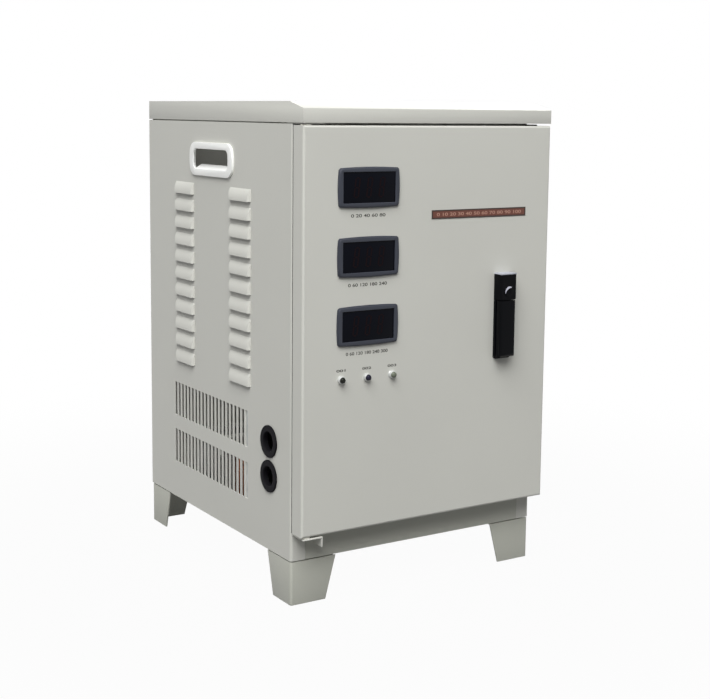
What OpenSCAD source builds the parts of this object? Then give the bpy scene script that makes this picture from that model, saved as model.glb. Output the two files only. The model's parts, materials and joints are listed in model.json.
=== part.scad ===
// Floor-standing servo voltage stabilizer: a louvred sheet-metal cabinet with a hinged meter door.
// +Z is up, the door faces -Y, and the origin is on the floor at the middle of the footprint.

/* [Cabinet] */
// Width across the side panels
cabinet_w = 400; // [388:1:420]
// Depth behind the door
cabinet_d = 446; // [440:1:470]
// Height of the sheet body
body_h = 572; // [568:0.5:590]
// Thickness of the sheet metal
sheet_t = 1.5; // [1.2:0.1:1.8]
// Width of the folded frame behind the door's edge
frame_w = 22; // [21:0.5:26]
// Height of the sill seen under the door
sill_h = 39; // [34:0.5:44]

/* [Lid] */
// Overall height of the lid
lid_h = 27; // [25:0.5:34]
// Height of the lid's front rim, under the slope
lid_rim_h = 18.3; // [16:0.1:23]
// Length of the sloped band along the lid's front
lid_slope_run = 36; // [20:1:50]
// Thickness of the gasket under the lid
lid_gap = 1.5; // [1.2:0.1:2.5]

/* [Feet] */
// Height of the feet
foot_h = 60.5; // [50:0.5:70]
// Width of a foot's front wall where it meets the cabinet
foot_w = 69; // [56:1:76]
// Depth of a foot's side wall where it meets the cabinet
foot_d = 64; // [54:1:72]
// How much narrower each wall is at the floor
foot_taper = 15.5; // [8:0.5:20]
// Thickness of the feet's plate
foot_t = 2.5; // [2:0.1:3]

/* [Louvres and slots] */
// Length of a louvre
louvre_w = 60; // [50:1:70]
// Height of a louvre
louvre_h = 17; // [14:0.5:19]
// How far a louvre stands out
louvre_out = 5; // [3.5:0.5:6]
// Distance from one louvre to the next
louvre_pitch = 25.2; // [24:0.1:27]
// Louvres in each column
louvre_rows = 11; // [6:1:11]
// Width of a ventilation slot
slot_w = 7.2; // [4:0.1:7.6]
// Height of a ventilation slot
slot_h = 51; // [40:1:54]
// Distance from one slot to the next
slot_pitch = 11.5; // [10.5:0.05:11.8]
// Slots in each row
slot_count = 21; // [12:1:21]

/* [Door] */
// Depth of the door's folded pan
door_depth = 25; // [24:0.5:28]
// Gap between the closed door and the cabinet
door_gap = 3; // [2.8:0.1:3.4]
// Gap between the door's top edge and the lid
door_top_gap = 3; // [2.2:0.1:3.6]

/* [Meters and lamps] */
// Width of a meter's bezel
meter_w = 94.5; // [90:0.5:98]
// Height of a meter's bezel
meter_h = 53; // [48:0.5:58]
// Height from one meter to the next
meter_row_h = 89.8; // [84:0.2:92]
// Width of a meter's window
window_w = 80; // [74:0.5:82]
// Height of a meter's window
window_h = 40; // [34:0.5:42]
// Diameter of a lamp's bezel
lamp_d = 11; // [9:0.5:13]

/* [Lock] */
// Length of the lock's base
lock_h = 120.5; // [112:0.5:126]
// Width of the lock's base
lock_w = 27; // [25:0.5:30]
// How far the lock stands out from the door
lock_proud = 16.5; // [15:0.5:19]
// Width of the swing-out handle
lock_handle_w = 25; // [20:0.5:26]
// Diameter of the push button
button_d = 15; // [12:0.5:17]

/* [Handles and grommets] */
// Length of a carrying handle's rim
grip_w = 134; // [126:1:140]
// Height of a carrying handle's rim
grip_h = 47; // [42:1:50]
// Depth of a carrying handle's hand rest
grip_depth = 14; // [10:1:20]
// Outer diameter of a cable grommet
grommet_d = 44; // [42:0.5:46.5]
// Bore of a cable grommet
grommet_bore = 27; // [20:0.5:30]

/* [Regulator] */
// Outer diameter of a winding, as a share of the cabinet's width
coil_share = 0.5; // [0.48:0.005:0.51]
// Height of a winding
coil_h = 85; // [75:1:90]
// Room above each winding for its brush arm
arm_room = 35; // [32:0.5:38]
// Diameter of the brush shaft
shaft_d = 12; // [10:0.5:13]
// Module of the drive gears
gear_module = 1.5; // [1.4:0.05:1.6]
// Teeth of the gear on the brush shaft
gear_teeth = 63; // [60:1:66]
// Teeth of the motor's pinion
pinion_teeth = 18; // [17:1:20]

/* [Hidden] */

$fn = 48;

// Overrun of a cutter past the face it cuts
over = 1;
// Gap between sheets that are fitted edge to edge
fit = 0.2;
// Gap between pieces that move past each other
run = 0.3;
// Radial clearance of a shaft in its bearing
bearing_gap = 0.06;

// Places that the whole cabinet follows
screw_head_t = 2.2;
button_proud = 1.2;
front_run = button_proud + lock_proud + door_depth + door_gap;
overall_d = front_run + cabinet_d + screw_head_t;
front_y = front_run - overall_d / 2;
back_y = front_y + cabinet_d;
half_w = cabinet_w / 2;
body_z = foot_h;
body_top = body_z + body_h;
tray_z = body_z + sheet_t;
lid_z = body_top + lid_gap;
lid_top = lid_z + lid_h;
door_z = body_z + sill_h;
door_top = lid_z - door_top_gap;
door_back_y = front_y - door_gap;
door_front_y = door_back_y - door_depth;
bend_r = 3.5;
lip_d = 10;

// Fasteners
screw_d = 5;
screw_len = 8;
screw_head_d = 9;
bolt_d = 8;
bolt_head_d = 13;
bolt_head_t = 5.3;
bolt_nut_t = 6.5;
flange_screw_in = frame_w / 2;
rear_screw_margin = 34;
lid_screw_margin = 60;

// Louvres and slots on the side panels, measured from the cabinet's front and top or bottom
louvre_front_y = 142;
louvre_rear_y = 318;
louvre_top_drop = 88.8;
slot_start_y = 120.6;
slot_low_z = 55;
slot_row_pitch = 72.8;
louvre_lip_gap = 0.8;

// Carrying handles
grip_y = 229;
grip_drop = 53.3;
grip_rim_t = 3.2;
grip_lip_t = 1.4;
grip_collar_d = 3.4;
grip_mouth_w = 109;
grip_mouth_h = 29;
grip_mouth_r = 9;
grip_rim_r = 17;
grip_bulge = 5;
grip_wall = 2;
grip_end_room = 6;
grip_rest_rise = 6.5;
grip_tab_w = 18;
grip_tab_h = 2.5;

// Cable grommets
grommet_y = 59;
grommet_low_z = 102;
grommet_pitch = 47.5;
grommet_flange_t = 2.5;
grommet_inner_t = 4;
grommet_waist_d = 38;
grommet_round_r = 1.2;

// Hinges
hinge_edge = 9.5;
hinge_face = 9;
hinge_x = -half_w + hinge_edge;
hinge_y = door_front_y + hinge_face;
hinge_pin_d = 7;
hinge_pin_reach = 12;
hinge_leaf_t = 2;
hinge_leaf_w = 30;
hinge_leaf_in = 2.5;
hinge_leaf_drop = 2;
hinge_flange_h = 12;
hinge_upper_back = 20;
bush_wall = 2;
bush_len = 7;

// Door furniture, measured from the door's left edge and from its top or bottom
door_bend_r = 3;
door_lip_w = 20;
meter_x = 97.5;
meter_drop = 79.2;
meter_proud = 3.6;
meter_step = 1.4;
meter_body_w = 88;
meter_body_h = 44;
meter_body_d = 42;
meter_corner_r = 8;
meter_bulge = 1.6;
window_t = 2;
window_set = 1.2;
window_seat_t = 2.4;
lamp_z = 203.5;
lamp_pitch = 39.2;
lamp_dome = 3;
lamp_lens_d = 6.4;
lamp_stem_d = 8;
lamp_stem_len = 14;
lamp_nut_d = 12;
lamp_nut_t = 3;
strip_w = 159.7;
strip_right = 42.6;
strip_x = cabinet_w - strip_right - strip_w;
strip_h = 12;
strip_t = 0.5;
strip_drop = 124;
stiffener_share = 0.11;
stiffener_w = stiffener_share * cabinet_w;
stiffener_d = 16;
stiffener_flange = 10;
stiffener_gap = 8.5;
gasket_w = 8;

// Lock
lock_in = 81;
lock_x = cabinet_w - lock_in;
lock_low_z = 209.5;
lock_plate_t = 4.5;
lock_head_h = 37;
lock_handle_gap = 0.6;
lock_head_gap = 1.2;
lock_end_gap = 3;
lock_round_r = 2.5;
button_z = 304.5;
button_travel = 3;
button_len = 6;
keyway_w = 1.6;
keyway_len = 7;
keyway_depth = 1.2;
spindle_d = 12;
spindle_head_w = 9;
spindle_tail = 6;
lock_pin_d = 3;
lock_skin = 1.5;
lock_tilt_deg = 30;
lock_nut_d = 24;
lock_neck_d = 17;
lock_nut_t = 4;
cam_t = 3;
cam_w = 22;
cam_reach = 10;
cam_clear = 2;

// Mounting plate and what it carries
plate_y = 115;
plate_t = 2;
plate_side = 15;
plate_low = 26;
plate_drop = 45;
board_share = 0.5;
board_w = board_share * cabinet_w;
board_h = 120;
board_t = 1.6;
board_drop = 105;
board_gap = 10;
standoff_d = 8;
standoff_in = 7;
rail_share = 0.625;
rail_len = rail_share * cabinet_w;
rail_side = 23.5;
rail_x = half_w - sheet_t - rail_side - rail_len / 2;
board_x = rail_x;
rail_w = 35;
rail_t = 7.5;
rail_lip = 4;
rail_sheet = 1;
rail_z = 300;
breaker_w = 36;
breaker_h = 80;
breaker_d = 60;
breaker_nose_d = 8;
breaker_nose_h = 45;
breaker_x = rail_x - 50;
toggle_pin_d = 4;
toggle_set = 4;
toggle_deg = 25;
contactor_w = 57;
contactor_h = 84;
contactor_d = 70;
contactor_x = rail_x + 38;
ct_d = 62;
ct_bore = 34;
ct_t = 26;
ct_in = 60;
ct_x = -half_w + ct_in;
ct_z = 290;
ct_foot_h = 6;
terminal_poles = 5;
terminal_pitch = 26;
terminal_h = 46;
terminal_d = 30;
terminal_in = 120;
terminal_x = -half_w + terminal_in;
terminal_z = 95;
stud_in = 110;
stud_x = half_w - stud_in;
stud_z = 80;
stud_len = 34;

// Regulator stack and the compensation transformer beside it
coil_d = coil_share * cabinet_w;
regulator_side_gap = 28.5;
regulator_x = half_w - sheet_t - regulator_side_gap - coil_d / 2;
transformer_side_gap = 8;
transformer_gap = 34.5;
core_w = cabinet_w - 2 * sheet_t - transformer_side_gap - transformer_gap - coil_d - regulator_side_gap;
core_h = 108;
core_stack = 70;
core_leg = core_w / 6;
coil_over = 24;
transformer_y = 260;
clamp_t = 4;
clamp_w = 24;
clamp_foot = 22;

regulator_y = 290;
bore_share = 0.46;
coil_bore = bore_share * coil_d;
coil_wall = 8;
coil_round_r = 7;
coil_open_deg = 34;
support_plate_t = 5;
support_plate_w = coil_d;
tie_rod_d = 8;
tie_rod_in = 16;
tie_rod_out = support_plate_w / 2 - tie_rod_in;
spacer_d = 14;
spacer_low = 20;
bearing_d = 24;
bearing_h = 14;
gear_t = 8;
gear_lift = 50;
gear_backlash = 0.25;
pressure_deg = 20;
gear_hub_d = 30;
motor_d = 56;
motor_h = 38;
motor_shaft_d = 6;
arm_t = 7;
arm_w = 20;
arm_hub_d = 36;
arm_hub_h = 22;
brush_track_in = 15;
brush_w = 8;
brush_l = 12;
brush_holder_wall = 3;
brush_holder_h = 16;
switch_r = 37;
switch_w = 12;
switch_t = 10;
switch_gap = 4;
switch_turn_deg = 10;
switch_lever_t = 1;
striker_d = 4;
striker_len = 8;
motor_bore_len = 10;
motor_ear_t = 3;
motor_ear_w = 14;

// Colours
grey_paint = [0.78, 0.78, 0.73];
zinc = [0.72, 0.72, 0.68];
white_plastic = [0.93, 0.93, 0.91];
black_plastic = [0.06, 0.06, 0.07];
black_rubber = [0.05, 0.05, 0.06];
bezel_grey = [0.36, 0.38, 0.44];
copper = [0.72, 0.42, 0.22];
core_steel = [0.30, 0.30, 0.31];
board_green = [0.10, 0.36, 0.20];

// Flat shapes

// Rectangle from the origin, its corner at the origin rounded.
module bent_corner(w, d, r) {
    translate([r, 0]) square([w - r, d]);
    translate([0, r]) square([w, d - r]);
    translate([r, r]) circle(r);
}

// Rectangle about the origin with all corners rounded.
module round_rect(w, h, r) {
    square([w - 2 * r, h], center = true);
    square([w, h - 2 * r], center = true);
    for (x = [-1, 1], y = [-1, 1]) translate([x * (w / 2 - r), y * (h / 2 - r)]) circle(r);
}

// Radius of the arc that swells by the given bulge over the given length.
function arc_r(length, bulge) = (length * length / 4 + bulge * bulge) / (2 * bulge);

// Rectangle about the origin with rounded corners whose four sides swell by the given bulge.
module bulged_rect(w, h, r, bulge) {
    side_r = arc_r(w, bulge);
    end_r = arc_r(h, bulge);
    intersection() {
        round_rect(w, h, r);
        translate([0, h / 2 - side_r]) circle(side_r, $fn = 180);
        translate([0, side_r - h / 2]) circle(side_r, $fn = 180);
        translate([w / 2 - end_r, 0]) circle(end_r, $fn = 180);
        translate([end_r - w / 2, 0]) circle(end_r, $fn = 180);
    }
}

// Long rectangle about the origin with rounded corners and swelling ends.
module bulged_ends(w, h, r, bulge) {
    end_r = arc_r(h, bulge);
    intersection() {
        round_rect(w, h, r);
        union() {
            square([w - 2 * bulge, h], center = true);
            for (side = [-1, 1]) translate([side * (w / 2 - end_r), 0]) circle(end_r, $fn = 180);
        }
    }
}

// A solid drawn on the XY plane, turned to stand on a face that looks towards -Y.
module facing_front(y) {
    translate([0, y, 0]) rotate([90, 0, 0]) children();
}

module block(low, high) {
    translate(low) cube(high - low);
}

// Places that several pieces share

function side_slot_y(i) = front_y + slot_start_y + slot_w / 2 + i * slot_pitch;
function slot_row_z(row) = body_z + slot_low_z + row * slot_row_pitch + slot_h / 2;
function louvre_lip_z(i) = body_top - louvre_top_drop - louvre_h - i * louvre_pitch;
function grommet_z(i) = body_z + grommet_low_z + i * grommet_pitch;
function rear_screw_z(i) = body_z + rear_screw_margin + i * (body_h - 2 * rear_screw_margin) / 2;
function lid_screw_y(i) = front_y + lid_screw_margin + i * (cabinet_d - 2 * lid_screw_margin) / 2;
function meter_z(i) = door_top - meter_drop - i * meter_row_h;
function lamp_x(i) = -half_w + meter_x + (i - 1) * lamp_pitch;
grip_z = body_top - grip_drop;
foot_in = 0.5;
foot_bolt_in = 26;
foot_groove = 1.6;

// Louvres

// How far the hood's arc has its centre behind the sheet's outer face.
louvre_back = (louvre_h * louvre_h - louvre_out * louvre_out) / (2 * louvre_out);

// Part of a louvre's rounded tongue, seen from below, that lies between the depths given.
module louvre_tongue(inset, depth) {
    tongue_r = louvre_out - inset;
    flat_w = louvre_w - 2 * louvre_out;
    intersection() {
        union() {
            square([2 * louvre_out, flat_w], center = true);
            for (side = [-1, 1]) translate([0, side * flat_w / 2]) circle(tongue_r);
        }
        translate([-louvre_out, -louvre_w]) square([louvre_out + depth, 2 * louvre_w]);
    }
}

// Arc that the hood follows from its lip up to the sheet.
module louvre_arc(inset) {
    translate([louvre_back, louvre_w, 0]) rotate([90, 0, 0])
        cylinder(r = louvre_back + louvre_out - inset, h = 2 * louvre_w, $fn = 180);
}

// Hood of one louvre on the plane X = 0, opening downwards at Z = 0, swelling towards -X.
module louvre_body() {
    intersection() {
        louvre_arc(0);
        linear_extrude(louvre_h + over) louvre_tongue(0, sheet_t / 2);
    }
}

// Space under one louvre's hood and through the sheet behind it.
module louvre_void() {
    intersection() {
        louvre_arc(sheet_t);
        translate([0, 0, -louvre_lip_gap]) linear_extrude(louvre_h)
            louvre_tongue(sheet_t, sheet_t + over);
    }
}

// Side panels

module at_louvres() {
    for (column = [louvre_front_y, louvre_rear_y], i = [0 : louvre_rows - 1])
        translate([-half_w, front_y + column, louvre_lip_z(i)]) children();
}

module side_channel() {
    difference() {
        translate([-half_w, front_y, body_z]) linear_extrude(body_h)
            bent_corner(frame_w, cabinet_d - sheet_t, bend_r);
        translate([-half_w + sheet_t, front_y + sheet_t, body_z - over])
            linear_extrude(body_h + over - sheet_t)
                bent_corner(frame_w, cabinet_d - 3 * sheet_t, bend_r - sheet_t);
    }
    block([-half_w + frame_w - sheet_t, front_y, door_z + frame_w],
        [-half_w + frame_w, front_y + lip_d, body_top]);
}

module side_slots() {
    translate([-half_w - over, 0, 0]) rotate([90, 0, 90]) linear_extrude(sheet_t + 2 * over)
        for (row = [0, 1], i = [0 : slot_count - 1])
            translate([side_slot_y(i), slot_row_z(row)]) square([slot_w, slot_h], center = true);
}

// A carrying handle's mouth, made longer and higher on each side by the lengths given.
module grip_outline(grow_w, grow_h) {
    round_rect(grip_mouth_w + 2 * grow_w, grip_mouth_h + 2 * grow_h, grip_mouth_r);
}

module side_panel(cable_holes) {
    difference() {
        union() {
            side_channel();
            at_louvres() louvre_body();
        }
        at_louvres() louvre_void();
        side_slots();
        translate([-half_w - over, front_y + grip_y, grip_z]) rotate([90, 0, 90])
            linear_extrude(sheet_t + 2 * over) grip_outline(grip_end_room + grip_wall, grip_wall);
        if (cable_holes)
            for (i = [0, 1]) translate([-half_w - over, front_y + grommet_y, grommet_z(i)])
                rotate([0, 90, 0]) cylinder(d = grommet_waist_d + fit, h = sheet_t + 2 * over);
        for (i = [0 : 2]) {
            translate([-half_w + flange_screw_in, back_y, rear_screw_z(i)])
                rotate([90, 0, 0]) cylinder(d = screw_d, h = 2 * sheet_t + over);
            translate([-half_w + flange_screw_in, lid_screw_y(i), body_top - sheet_t - over])
                cylinder(d = screw_d, h = sheet_t + 2 * over);
        }
    }
}

module side_panel_left() {
    color(grey_paint) side_panel(true);
}

module side_panel_right() {
    color(grey_paint) mirror([1, 0, 0]) side_panel(false);
}

// Base tray, whose front upturn is the sill under the door

tray_flange_h = 20;

module base_tray() {
    inner_w = half_w - sheet_t;
    sill_w = half_w - frame_w - fit;
    tray_back = back_y - 2 * sheet_t - fit;
    color(grey_paint) difference() {
        union() {
            block([-inner_w, front_y + sheet_t + fit, body_z], [inner_w, tray_back, tray_z]);
            block([-sill_w, front_y, body_z], [sill_w, front_y + sheet_t, door_z + frame_w]);
            block([-sill_w, front_y, body_z], [sill_w, front_y + 2 * sheet_t, tray_z]);
            block([-sill_w, front_y, door_z + frame_w - sheet_t],
                [sill_w, front_y + lip_d, door_z + frame_w]);
            for (side = [-1, 1]) translate([side * (inner_w - sheet_t / 2), 0, 0])
                block([-sheet_t / 2, front_y + frame_w, body_z],
                    [sheet_t / 2, tray_back, body_z + tray_flange_h]);
            block([-inner_w, tray_back - sheet_t, body_z], [inner_w, tray_back, body_z + tray_flange_h]);
        }
        at_feet() translate([foot_bolt_in, foot_bolt_in, foot_h - over])
            cylinder(d = bolt_d, h = sheet_t + 2 * over);
        at_tie_rods() translate([0, 0, body_z - over]) cylinder(d = tie_rod_d, h = sheet_t + 2 * over);
    }
}

// Rear panel

rear_slot_mid = 321.5;

module rear_panel() {
    color(grey_paint) difference() {
        union() {
            block([-half_w, back_y - sheet_t, body_z], [half_w, back_y, body_top]);
            block([-half_w + frame_w + fit, back_y - frame_w, body_top - sheet_t],
                [half_w - frame_w - fit, back_y, body_top]);
        }
        translate([0, back_y + over, 0]) rotate([90, 0, 0]) linear_extrude(sheet_t + 2 * over)
            for (row = [-1, 1], i = [0 : slot_count - 1])
                translate([
                    (i - (slot_count - 1) / 2) * slot_pitch,
                    body_z + rear_slot_mid + row * slot_row_pitch / 2
                ]) square([slot_w, slot_h], center = true);
        for (side = [-1, 1], i = [0 : 2])
            translate([side * (half_w - flange_screw_in), back_y + over, rear_screw_z(i)])
                rotate([90, 0, 0]) cylinder(d = screw_d, h = sheet_t + 2 * over);
    }
}

// Rail over the door opening

module top_rail() {
    rail_half = half_w - frame_w - fit;
    color(grey_paint) {
        block([-rail_half, front_y, body_top - frame_w], [rail_half, front_y + sheet_t, body_top]);
        block([-rail_half, front_y, body_top - sheet_t], [rail_half, front_y + frame_w, body_top]);
        block([-rail_half, front_y, body_top - frame_w],
            [rail_half, front_y + lip_d, body_top - frame_w + sheet_t]);
    }
}

// Lid

module lid_profile(inset) {
    polygon([
        [door_front_y + inset, lid_z - over * sign(inset)],
        [door_front_y + inset, lid_z + lid_rim_h - inset],
        [door_front_y + lid_slope_run, lid_top - inset],
        [back_y - inset, lid_top - inset],
        [back_y - inset, lid_z - over * sign(inset)]
    ]);
}

module lid_prism(inset) {
    w = half_w - inset;
    translate([-w, 0, 0]) rotate([90, 0, 90]) linear_extrude(2 * w) lid_profile(inset);
}

module lid() {
    flange_in = frame_w - sheet_t;
    color(grey_paint) difference() {
        union() {
            difference() {
                lid_prism(0);
                lid_prism(sheet_t);
            }
            for (side = [-1, 1]) translate([side * (half_w - frame_w / 2), 0, 0])
                block([-frame_w / 2, front_y, lid_z], [frame_w / 2, back_y, lid_z + sheet_t]);
            block([-half_w, back_y - flange_in, lid_z], [half_w, back_y, lid_z + sheet_t]);
        }
        for (side = [-1, 1], i = [0 : 2])
            translate([side * (half_w - flange_screw_in), lid_screw_y(i), lid_z - over])
                cylinder(d = screw_d, h = sheet_t + 2 * over);
    }
}

lid_gasket_in = 4;
lid_gasket_w = 14;

module lid_gasket() {
    outer = half_w - lid_gasket_in;
    inner = outer - lid_gasket_w;
    gasket_front = front_y + hinge_upper_back + fit;
    gasket_back = back_y - lid_gasket_in;
    color(black_rubber) difference() {
        block([-outer, gasket_front, body_top], [outer, gasket_back, lid_z]);
        block([-inner, gasket_front - over, body_top - over],
            [inner, gasket_back - lid_gasket_w, lid_z + over]);
        for (side = [-1, 1], i = [0 : 2])
            translate([side * (half_w - flange_screw_in), lid_screw_y(i), body_top - over])
                cylinder(d = screw_d, h = lid_gap + 2 * over);
    }
}

// Pan-head screw pointing up, its head's top face at the origin.
module screw_up() {
    translate([0, 0, -screw_head_t]) cylinder(d = screw_head_d, h = screw_head_t);
    cylinder(d = screw_d, h = screw_len);
}

// Six screws under the lid's edge and six in the rear panel.
module cabinet_screws() {
    color(zinc) for (side = [-1, 1], i = [0 : 2]) translate([side * (half_w - flange_screw_in), 0, 0]) {
        translate([0, lid_screw_y(i), body_top - sheet_t]) screw_up();
        translate([0, back_y, rear_screw_z(i)]) rotate([90, 0, 0]) screw_up();
    }
}

// Feet

// The four corners, each mirrored so that +X and +Y point into the cabinet.
module at_corner(x_side, y_side) {
    mid_y = (front_y + back_y) / 2;
    translate([0, mid_y, 0])
        mirror([x_side > 0 ? 1 : 0, 0, 0])
            mirror([0, y_side > 0 ? 1 : 0, 0])
                translate([-half_w + foot_in, -cabinet_d / 2 + foot_in, 0]) children();
}

module at_feet() {
    for (x_side = [-1, 1], y_side = [-1, 1]) at_corner(x_side, y_side) children();
}

module foot() {
    wall_h = foot_h - foot_groove;
    difference() {
        union() {
            intersection() {
                linear_extrude(wall_h) difference() {
                    bent_corner(foot_w, foot_d, bend_r);
                    translate([foot_t, foot_t]) bent_corner(foot_w, foot_d, bend_r - foot_t);
                }
                union() {
                    translate([0, bend_r, 0]) rotate([90, 0, 0]) linear_extrude(bend_r)
                        polygon([[0, 0], [foot_w - foot_taper, 0], [foot_w, wall_h], [0, wall_h]]);
                    rotate([90, 0, 90]) linear_extrude(bend_r)
                        polygon([[0, 0], [foot_d - foot_taper, 0], [foot_d, wall_h], [0, wall_h]]);
                }
            }
            block([foot_t / 2, foot_t / 2, wall_h - foot_t], [foot_w - foot_t, foot_d - foot_t, wall_h]);
            block([2 * foot_t, 2 * foot_t, wall_h - foot_t],
                [foot_w - 2 * foot_t, foot_d - 2 * foot_t, foot_h]);
        }
        translate([foot_bolt_in, foot_bolt_in, wall_h - foot_t - over]) cylinder(d = bolt_d, h = foot_h);
    }
}

module corner_feet() {
    color(grey_paint) at_feet() foot();
}

module foot_bolts() {
    head_z = foot_h - foot_groove - foot_t - bolt_head_t;
    color(zinc) at_feet() translate([foot_bolt_in, foot_bolt_in, 0]) {
        translate([0, 0, head_z]) cylinder(d = bolt_head_d, h = bolt_head_t, $fn = 6);
        translate([0, 0, head_z]) cylinder(d = bolt_d, h = tray_z + bolt_nut_t + foot_t - head_z);
        translate([0, 0, tray_z]) cylinder(d = bolt_head_d, h = bolt_nut_t, $fn = 6);
    }
}

// Carrying handles

// Rim outside the sheet, a collar and four snap tabs behind it, and a sloped rest along the mouth's bottom.
module carry_handle() {
    mouth_half = grip_mouth_h / 2;
    rest_x = grip_depth - grip_rim_t;
    tab_top = mouth_half + grip_wall + grip_tab_h;
    translate([-half_w, front_y + grip_y, grip_z]) {
        difference() {
            union() {
                rotate([90, 0, -90]) linear_extrude(grip_rim_t)
                    bulged_ends(grip_w, grip_h, grip_rim_r, grip_bulge);
                translate([-over, 0, 0]) rotate([90, 0, 90]) linear_extrude(grip_collar_d + over)
                    grip_outline(grip_end_room + grip_wall, grip_wall);
                for (y = [-1, 1]) translate([sheet_t, y * grip_mouth_w / 3, 0])
                    block([0, -grip_tab_w / 2, -tab_top], [sheet_t, grip_tab_w / 2, tab_top]);
            }
            translate([-grip_rim_t - over, 0, 0]) rotate([90, 0, 90])
                linear_extrude(grip_rim_t + grip_collar_d + 2 * over) grip_outline(0, 0);
            translate([grip_lip_t - grip_rim_t, 0, 0]) rotate([90, 0, 90])
                linear_extrude(grip_rim_t + grip_collar_d) grip_outline(grip_end_room, grip_wall / 2);
        }
        intersection() {
            rotate([90, 0, 0]) translate([0, 0, -grip_mouth_w / 2]) linear_extrude(grip_mouth_w)
                polygon([
                    [run - grip_rim_t, -mouth_half - run],
                    [rest_x, grip_rest_rise - mouth_half],
                    [rest_x, -mouth_half - 2 * grip_wall],
                    [run - grip_rim_t, -mouth_half - 2 * grip_wall]
                ]);
            translate([-grip_rim_t, 0, 0]) rotate([90, 0, 90]) linear_extrude(grip_depth + over)
                grip_outline(-run, grip_wall * 3 / 4);
        }
    }
}

module carry_handle_left() {
    color(white_plastic) carry_handle();
}

module carry_handle_right() {
    color(white_plastic) mirror([1, 0, 0]) carry_handle();
}

// Cable grommets

module grommet(i) {
    bore_r = grommet_bore / 2;
    rim_r = grommet_d / 2;
    waist_r = grommet_waist_d / 2;
    translate([-half_w, front_y + grommet_y, grommet_z(i)]) rotate([0, 90, 0]) rotate_extrude() {
        translate([bore_r, -grommet_flange_t + grommet_round_r])
            square([rim_r - bore_r, grommet_flange_t - grommet_round_r]);
        translate([bore_r + grommet_round_r, -grommet_flange_t])
            square([rim_r - bore_r - 2 * grommet_round_r, grommet_round_r]);
        for (r = [bore_r + grommet_round_r, rim_r - grommet_round_r])
            translate([r, -grommet_flange_t + grommet_round_r]) circle(grommet_round_r);
        translate([bore_r, grommet_round_r - grommet_flange_t])
            square([waist_r - bore_r, grommet_flange_t + sheet_t]);
        translate([bore_r, sheet_t]) square([rim_r - grommet_round_r - bore_r, grommet_inner_t]);
    }
}

module cable_grommet_upper() {
    color(black_rubber) grommet(1);
}

module cable_grommet_lower() {
    color(black_rubber) grommet(0);
}

// Hinges

lower_leaf_z = door_z - hinge_leaf_drop - hinge_leaf_t;

module hinge_plate_lower() {
    leaf_x = -half_w + hinge_leaf_in;
    color(grey_paint) difference() {
        union() {
            block([leaf_x, door_front_y, lower_leaf_z],
                [leaf_x + hinge_leaf_w, front_y, lower_leaf_z + hinge_leaf_t]);
            block([leaf_x + hinge_leaf_w - hinge_leaf_t, door_front_y, lower_leaf_z - hinge_flange_h],
                [leaf_x + hinge_leaf_w, front_y, lower_leaf_z + hinge_leaf_t]);
        }
        translate([hinge_x, hinge_y, lower_leaf_z - over])
            cylinder(d = hinge_pin_d, h = hinge_leaf_t + 2 * over);
    }
}

module hinge_plate_upper() {
    leaf_x = -half_w + hinge_leaf_in;
    leaf_y = door_front_y + sheet_t + fit;
    color(grey_paint) difference() {
        block([leaf_x, leaf_y, body_top], [leaf_x + hinge_leaf_w, front_y + hinge_upper_back, lid_z]);
        translate([hinge_x, hinge_y, body_top - over]) cylinder(d = hinge_pin_d, h = lid_gap + 2 * over);
    }
}

module hinge_pins() {
    color(zinc) {
        translate([hinge_x, hinge_y, lower_leaf_z])
            cylinder(d = hinge_pin_d, h = door_z + hinge_pin_reach - lower_leaf_z);
        translate([hinge_x, hinge_y, door_top - hinge_pin_reach])
            cylinder(d = hinge_pin_d, h = lid_z - door_top + hinge_pin_reach);
    }
}

// Bush about the pin: a sleeve inside the door's edge and a collar outside it.
module hinge_bush(collar_t) {
    bore_d = hinge_pin_d + 2 * bearing_gap;
    sleeve_d = bore_d + 2 * bush_wall;
    difference() {
        union() {
            cylinder(d = sleeve_d, h = bush_len);
            translate([0, 0, -collar_t]) cylinder(d = sleeve_d + 2 * bush_wall, h = collar_t);
        }
        translate([0, 0, -collar_t - over]) cylinder(d = bore_d, h = bush_len + collar_t + 2 * over);
    }
}

module hinge_bushes() {
    color(white_plastic) {
        translate([hinge_x, hinge_y, door_z]) hinge_bush(hinge_leaf_drop - run);
        translate([hinge_x, hinge_y, door_top]) mirror([0, 0, 1]) hinge_bush(door_top_gap - lid_gap - run);
    }
}

// Door

module door_block(inset, lip) {
    r = max(door_bend_r - inset, sheet_t);
    w = half_w - inset;
    low = door_z + inset;
    high = door_top - inset;
    near_y = door_front_y + inset;
    far_y = door_back_y - lip;
    intersection() {
        translate([0, 0, low]) linear_extrude(high - low) {
            translate([-w, near_y + r]) square([2 * w, far_y - near_y - r]);
            translate([r - w, near_y]) square([2 * (w - r), far_y - near_y]);
            for (side = [-1, 1]) translate([side * (w - r), near_y + r]) circle(r);
        }
        translate([-w, 0, 0]) rotate([90, 0, 90]) linear_extrude(2 * w) {
            translate([near_y + r, low]) square([far_y - near_y - r, high - low]);
            translate([near_y, low + r]) square([far_y - near_y, high - low - 2 * r]);
            for (z = [low + r, high - r]) translate([near_y + r, z]) circle(r);
        }
    }
}

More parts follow.
